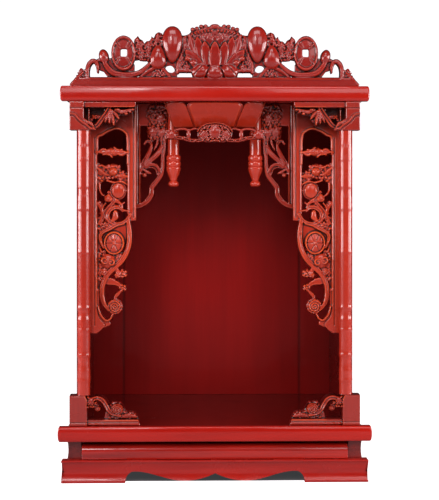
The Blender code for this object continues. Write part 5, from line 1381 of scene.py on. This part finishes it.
for side, node in ((-1, "spandrel_left"), (1, "spandrel_right")):
    low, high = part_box(node)

    def place(u, v, h, side=side, low=low, high=high):
        outer = low[0] if side < 0 else high[0]
        return (outer - side * u * (high[0] - low[0]) / SPANDREL_UNITS[0], high[1] - h * MM,
                high[2] - (SPANDREL_UNITS[1] - v) * SPANDREL_TALL / SPANDREL_UNITS[1])
    carve(node + "_carved", SPANDREL, (0, 0), SPANDREL_UNITS, place, 0.34, carved_red, [node],
          ((WITHIN, SPANDREL_UNITS[0] - WITHIN), (WITHIN, SPANDREL_UNITS[1] - WITHIN)))


# Valance: a lacy strip of lacquered wood with a domed medallion, sawn and carved in one piece and
# glued on the canopy's lower edge between the pendants.

VALANCE_UNITS = (49.8, 20.9)
VALANCE_TALL = 32.3 * MM
VALANCE = [
    Plate([(-1, 0), (8.9, 0.3), (14, 1.6), (17.4, 6), (17.6, 10), (17.4, 13.4), (14.3, 16.6),
           (8.9, 19.6), (4.5, 20.6), (-1, 20.9)], 7),
    Stroke([(13, 2.4), (19.6, 2.2), (24.8, 2.6), (31, 4.4), (37.5, 5.0), (44, 5.6), (49.5, 7.0)],
           [1.9, 2.1, 2.2, 2.0, 1.8], 8.5, 5),
    Stroke([(16.5, 13.4), (20.5, 13.9), (26, 12.4), (30.5, 13.6), (36, 13.4), (41, 11.6), (44.5, 8.5)],
           [0.9, 1.4, 1.4, 1.2], 8, 5),
    Dome((26.2, 8.4), (2.5, 5.0), 9, 5),
    Plate([(38.5, 3.6), (37.4, 8.5), (40.5, 12.6), (49.8, 13.6), (49.8, 3.8), (44, 2.8)], 8),
    Dome((43.6, 8.0), (5.2, 4.6), 12, 7),
    Dome((0, 11.0), (6.4, 6.8), 12, 7),
    Dome((11.3, 8.4), (4.0, 4.6), 11, 7),
    Stroke([(0, 18.4), (8, 16.8), (14.5, 12.6)], [1.2, 1.6, 1.2], 10, 7),
]
VALANCE += foliage([(0, 1.5), (9, 1.8), (13.5, 3), (16, 7), (16.4, 12.6), (13.5, 15), (8.6, 17.8), (0, 19)],
                   2.7, 12.4, 7.5)
VALANCE += foliage([(38.4, 4.6), (38.4, 9), (41, 11.6), (49.4, 12.8), (49.4, 5)], 2.5, 11.5, 8)
VALANCE += [
    Stroke([(0, 20.0), (8.6, 18.7), (14.4, 15.4), (17.4, 11)], [0.7, 0.8, 0.7], 11.5, 8, "round"),
    Groove([(0, 18.6), (8.2, 17.3), (13.8, 14.0), (15.8, 10.4)], 0.4, 1.5),
    Groove([(13, 2.4), (19.6, 2.2), (24.8, 2.6), (31, 4.4), (37.5, 5.0)], 0.5, 1.6),
    Dome((19.6, 2.6), (2.0, 1.8), 11, 6, 0, 5, 0.2),
    Dome((25.4, 3.6), (2.2, 2.0), 11, 6, 30, 5, 0.2),
    Dome((31.6, 4.8), (2.0, 1.8), 11, 6, 0, 5, 0.2),
]
valance_low, valance_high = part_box("valance")


def valance_place(u, v, h):
    across = valance_high[0] / VALANCE_UNITS[0]
    up = VALANCE_TALL / VALANCE_UNITS[1]
    return (u * across, valance_high[1] - h * MM, valance_low[2] + v * up)


carve("valance_carved", VALANCE, (0, 0), VALANCE_UNITS, valance_place, 0.25, carved_red, ["valance"],
      ((WITHIN - VALANCE_UNITS[0], VALANCE_UNITS[0] - WITHIN), (0.0, VALANCE_UNITS[1])), mirrored=True)


# Pendants: turned and lacquered wooden drops that hang at the arch's ends, shaft, two rings, bulb,
# bead and foot disc. The profile gives a height in millimetres and a share of the bulb's radius.

PENDANT_SHAFT = 0.775
PENDANT_PROFILE = ((0.0, 0.30), (0.3, 0.45), (1.0, 0.60), (2.4, 0.70), (4.2, 0.73), (6.2, 0.70),
                   (7.6, 0.62), (8.6, 0.50), (9.2, 0.42), (9.9, 0.44), (11.2, 0.52), (12.3, 0.52),
                   (13.0, 0.53), (16, 0.65), (20.0, 0.80), (24, 0.91), (27.5, 0.98), (29.6, 1.0),
                   (30.6, 0.97), (31.2, 0.89), (31.8, 0.92), (32.6, 0.97), (35.8, 0.985), (39.0, 0.97),
                   (39.8, 0.93), (40.2, 0.88), (40.8, 0.93), (41.6, 0.97), (45, 0.98), (48.0, 0.96),
                   (49.0, 0.90), (49.8, PENDANT_SHAFT))
pendant_red = lacquer("pendant_lacquer", (0.62, 0.044, 0.017, 1.0), (0.34, 0.018, 0.009, 1.0), "Z",
                      gloss=0.1)
for node in ("pendant_left", "pendant_right"):
    low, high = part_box(node)
    centre = ((low[0] + high[0]) / 2, (low[1] + high[1]) / 2)
    bulb = (high[1] - low[1]) / 2
    rings = []
    for z, share in PENDANT_PROFILE + (((high[2] - low[2]) / MM, PENDANT_SHAFT),):
        rings.append([(centre[0] + bulb * share * math.cos(math.tau * i / 40),
                       centre[1] + bulb * share * math.sin(math.tau * i / 40), low[2] + z * MM)
                      for i in range(40)])
    verts, faces = loft(rings)
    make_piece(node + "_turned", verts, faces, pendant_red, "cabinet", [node], 50)


# Canopy: three thin lacquered boards that lean in under the roof's front edge, glued along their
# sides like half an upturned lantern. Each has a raised field with rounded upper corners, and beads
# run down the outer edges.

# The boards' grooves take a darker red as painted shade, and their raised parts a painted highlight.
canopy_red = lacquer("canopy_lacquer", (0.44, 0.026, 0.008, 1.0), (0.28, 0.013, 0.005, 1.0), "X", gloss=0.2,
                     contrast=0.6, hollow=(0.10, 0.004, 0.003, 1.0), shine=(0.3, 0.3))


CANOPY_UNITS = (60, 40)
CANOPY_THICK = 4.4


def leaning_board(name, node, outer, trim=()):
    """outer is the board's front face: upper left, upper right, lower right, lower left."""
    a, b, c, d = (Vector(p) for p in outer)

    def place(u, v, h):
        left = d.lerp(a, v / CANOPY_UNITS[1])
        right = c.lerp(b, v / CANOPY_UNITS[1])
        spot = left.lerp(right, u / CANOPY_UNITS[0])
        return (spot.x, spot.y + (CANOPY_THICK - h) * MM, spot.z)
    forms = [
        Plate([(0, 0), (60, 0), (60, 31.5), (58.8, 35.4), (56.2, 38.0), (52.4, 39.4), (30, 40), (7.6, 39.4),
               (3.8, 38.0), (1.2, 35.4), (0, 31.5)], 2.4),
        Plate([(2.2, 1.6), (57.8, 1.6), (57.8, 30.5), (56.6, 34.0), (54.4, 36.4), (51.0, 37.8), (30, 38.6),
               (9.0, 37.8), (5.6, 36.4), (3.4, 34.0), (2.2, 30.5)], CANOPY_THICK),
    ] + list(trim)
    carve(name, forms, (0, 0), CANOPY_UNITS, place, 0.55, canopy_red, [node],
          ((WITHIN, CANOPY_UNITS[0] - WITHIN), (WITHIN, CANOPY_UNITS[1] - WITHIN)))


EDGE_BEADS = [Stroke([(58.2, 0.5), (58.2, 39.5)], [1.3, 1.3], 5.6, 3, "round"),
              Stroke([(54.4, 1.5), (54.4, 37.5)], [0.8, 0.8], 5.2, 3.4, "round")]
EDGE_BEADS += [Dome((58.2, 2 + 3.0 * k), (1.4, 1.4), 6.2, 4) for k in range(13)]
CANOPY_TOP = ((46.4 * MM, 12 * MM), (79 * MM, 28 * MM))      # from the middle, behind the slab's front
CANOPY_LOW = ((31 * MM, 36 * MM), (64.5 * MM, 44 * MM))
CANOPY_JOINT = 0.3 * MM
canopy_low, canopy_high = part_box("canopy_centre")
upper, lower = canopy_high[2], canopy_low[2]
near_top, far_top = CANOPY_TOP
near_low, far_low = CANOPY_LOW
corners = [(-near_top[0], slab_front + near_top[1], upper), (near_top[0], slab_front + near_top[1], upper),
           (near_low[0], slab_front + near_low[1], lower), (-near_low[0], slab_front + near_low[1], lower)]
leaning_board("canopy_centre_board", "canopy_centre", corners)
for side, node in ((-1, "canopy_left"), (1, "canopy_right")):
    corners = [(side * (near_top[0] + CANOPY_JOINT), slab_front + near_top[1], upper),
               (side * far_top[0], slab_front + far_top[1], upper),
               (side * far_low[0], slab_front + far_low[1], lower),
               (side * (near_low[0] + CANOPY_JOINT), slab_front + near_low[1], lower)]
    leaning_board(node + "_board", node, corners, EDGE_BEADS)


# Crest: an openwork board of lacquered wood, sawn and carved in one piece and glued on the roof's front.
# A lotus and its leaf stand between buds, coins and scrolls.

# Hollows take painted shade and ridges a painted highlight, as in all the carving.
crest_red = lacquer("crest_lacquer", (0.36, 0.014, 0.008, 1.0), (0.15, 0.004, 0.003, 1.0), "X",
                    hollow=CARVED_PAINTED_SHADE, gloss=0.20, contrast=0.8, shine=(0.32, 0.95))
CREST_UNITS = (146.1, 63.4)
CREST_LOW = 2.2
CREST_TALL = 97 * MM
CREST_TOP = 61.0
CREST = [
    Plate([(-1, -3.2), (146.1, -3.2), (146.1, 0.4), (140, 6.5), (127, 7.3), (-1, 7.3)], 12),
    Plate([(127.2, 0), (146.1, 0), (146.1, 0.6), (139.7, 7.9), (139.9, 9.3), (136.9, 9.9),
           (135.6, 11.5), (136.6, 14.3), (135.9, 16.1), (134.2, 16.5), (132.2, 14.7), (129.8, 15.3),
           (126.2, 12)], 9),
    Stroke([(128.0, 5.0), (128.4, 13.8), (126.9, 19.8), (123.4, 23.4), (119.9, 22.2), (118.2, 17.8),
            (118.0, 12.0)], [2.0, 2.4, 2.6, 2.5, 2.0, 0.9], 13, 6),
    Plate([(108.5, 6), (109, 8.5), (112.3, 12.9), (116.2, 14.2), (119, 20), (117, 25), (104, 27),
           (84, 24), (81, 20), (81, 12), (84, 8), (88, 6)], 6),
    Dome((112.0, 28.2), (5.0, 7.4), 14, 6, -12),
    Stroke([(121, 22), (117, 24.5), (112, 23)], [1.2, 1.8, 1.4], 9, 6),
    Dome((92.1, 31.6), (12.2, 17.0), 8.5, 8),
    Rim((92.1, 31.6), (11.2, 16.0), 1.2, 11.5, 8),
    *[Stroke([(u, v), (near, step)], [2.0, 1.2], 10.5, 8)
      for u, near in ((99.5, 96.2), (84.9, 88.2)) for v, step in ((42, 37.5), (21.5, 26))],
    Hole(Plate([(88.7, 29.5), (89.6, 28.2), (94.3, 28.2), (95.2, 29.5), (95.2, 34.8), (94.3, 36.0),
                (89.6, 36.0), (88.7, 34.8)], 0)),
    Stroke([(112.4, 28.8), (111.6, 23.3), (107.7, 16.3), (101.7, 11.3), (93.2, 9.7), (84.2, 9.7),
            (76.2, 11.9), (70.2, 16.3), (65.0, 21.5)], [1.4, 2.7, 3.1, 3.0, 2.6, 1.8], 13, 6),
    Plate([(82, 24), (81.7, 40.3), (81.6, 44.3), (79.7, 46.8), (77.8, 49.3), (75.6, 46.0),
           (73.0, 44.7), (71.2, 41.5), (69.2, 43.7), (65.7, 44.3), (64.6, 40.3), (64.2, 49.0),
           (61.8, 46.9), (59.9, 51.3), (56.6, 53.1), (53.2, 51.7), (51.2, 44.3), (45, 40),
           (38, 26), (38, 5), (76, 5), (72, 14), (67, 20), (68, 23.5), (72.2, 24.2), (77.2, 24.8)], 7),
    Stroke([(78, 46), (75.5, 38), (72, 31)], [1.2, 2.6, 1.2], 11, 7),
    Stroke([(67.5, 42.5), (66.5, 35), (67, 28)], [1.2, 2.4, 1.2], 11, 7),
    Stroke([(57.5, 51), (58.5, 44.5), (62, 39)], [1.4, 2.6, 1.2], 11, 7),
    Hole(Plate([(40.5, 14.5), (43.5, 19), (48.5, 18.6), (50, 15.5), (47, 12.8), (43, 12.2)], 0, True)),
    Stroke([(76.2, 6.3), (71.2, 10.8), (66.2, 14.3), (60.2, 16.8), (53.2, 16.3), (48.4, 11.5),
            (44.2, 5.8)], [1.4, 1.9, 1.9, 1.5], 11, 6),
    Plate([(-1, 6), (22.5, 6), (23.5, 11.8), (35.8, 11.8), (40.5, 12), (39.5, 18), (39.0, 24),
           (35.5, 36), (33.7, 49.6), (24.5, 49.8), (24.2, 56.0), (15.2, 55.8), (14.6, 58.5),
           (5.6, 58.7), (3.8, 60.3), (-1, 61.2)], 8),
    Stroke([(37.5, 12), (37.0, 20), (33.5, 30)], [1.6, 2.4, 1.2], 12, 7),
    Stroke([(22, 13), (29, 14.5), (36, 13.5)], [1.6, 2.2, 1.4], 12, 7),
    Stroke([(0, 57.4), (9, 56.4), (19.5, 53)], [1.5, 1.5, 1.3], 11, 8),
    Stroke([(31.0, 46.5), (29.6, 38), (26.5, 31)], [2.2, 3.2, 2.0], 11.5, 8),
    Stroke([(25.4, 49.0), (24.0, 40), (21.0, 31), (17.5, 25.5)], [1.8, 4.2, 4.0, 2.4], 13, 8),
]
CREST += foliage([(80.5, 26), (80.6, 43), (77.8, 47), (72, 41.5), (66, 42.5), (63.4, 46.5), (58, 51.5),
                  (54, 50), (51, 42), (50, 30), (66, 24)], 3.3, 12.5, 7)
CREST += foliage([(19.5, 36), (33, 32), (33, 48.5), (23.4, 48.6), (23, 54.5), (12, 55.5), (0, 56), (0, 45),
                  (10, 46)], 3.5, 10.6, 7.6)
CREST += foliage([(23.5, 13), (35.5, 13), (38.5, 18), (37.5, 27), (33.4, 31), (30, 26), (24.5, 17.5)], 3.0,
                 13, 8)
CREST += foliage([(50, 8), (64, 8), (59, 15.5), (52.6, 14.5)], 2.8, 11, 7)
CREST += foliage([(128, 8), (139, 8.5), (136, 15.5), (129.5, 15)], 2.6, 12, 8)
CREST += [
    Stroke([(0, 5.4), (60, 5.4), (126, 5.4)], [0.8, 0.8], 13.2, 11.5, "round"),
    Stroke([(142, 3), (137.5, 7.5), (133, 12)], [0.8, 2.0, 0.9], 13, 8, "leaf"),
    Dome((42.9, 40.4), (10.0, 18.4), 19, 9, taper=0.24),
    Dome((57.4, 27.6), (8.0, 12.2), 18, 9, taper=-0.3),
    Petal((17.8, 20), (25.2, 49.0), 8.0, 13.0),
    Petal((12.4, 20), (18.2, 48.2), 6.8, 14.6),
    Petal((13.6, 16), (29.8, 35.0), 7.0, 16.5),
    Petal((6.6, 20), (10.7, 43.6), 6.6, 16.6),
    Petal((0, 18), (0, 43.4), 7.4, 18.8, 9),
    Dome((14.6, 13.6), (9.4, 7.6), 17, 8, -16),
    Dome((0, 12.4), (9.6, 8.0), 16.5, 9),
    Dome((22.4, 55.6), (2.3, 2.0), 12, 8),
    Dome((18.2, 56.6), (2.2, 1.9), 12, 8),
    Dome((13.8, 58.6), (2.3, 1.9), 12.4, 8),
    Dome((9.4, 59.0), (2.2, 1.7), 12.4, 8),
    Groove([(9.6, 7.6), (7.6, 12.4), (4.6, 18.6)], 0.6, 2.6),
    Groove([(20.6, 9.6), (17.4, 14.2), (13.0, 19.0)], 0.5, 2.0),
    *[Groove([(u, v), (near, step)], 0.7, 1.8)
      for u, near in ((84.6, 88.4), (99.6, 95.8)) for v, step in ((43.0, 37.6), (20.4, 26.0))],
    Groove([(125.4, 8), (125.8, 13.8), (124.4, 19.0), (121.6, 20.4), (120.2, 16)], 0.5, 1.2),
    Dome((0, 58.6), (4.6, 2.6), 12.5, 9),
]
for spot in range(9):
    CREST.append(Dome((3.4 + 3.3 * spot, 54.2 - 0.1 * spot ** 2), (1.4, 1.6), 13, 8))
for spot, (u, v) in enumerate(((27.4, 26.2), (21.6, 22.0))):
    CREST.append(Dome((u, v), (3.0, 3.0), 17.2 - spot, 12))
crest_low, crest_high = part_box("crest")
CREST_UNIT = CREST_TALL / CREST_UNITS[1]


def crest_place(u, v, h):
    return (u * CREST_UNIT, crest_high[1] - h * MM, crest_low[2] + (v + CREST_LOW) * CREST_UNIT)


carve("crest_carved", CREST, (0, -CREST_LOW), (CREST_UNITS[0], CREST_UNITS[1] - CREST_LOW), crest_place,
      0.42, crest_red, ["crest"], ((-CREST_UNITS[0], CREST_UNITS[0]), (WITHIN - CREST_LOW, CREST_TOP)),
      mirrored=True)
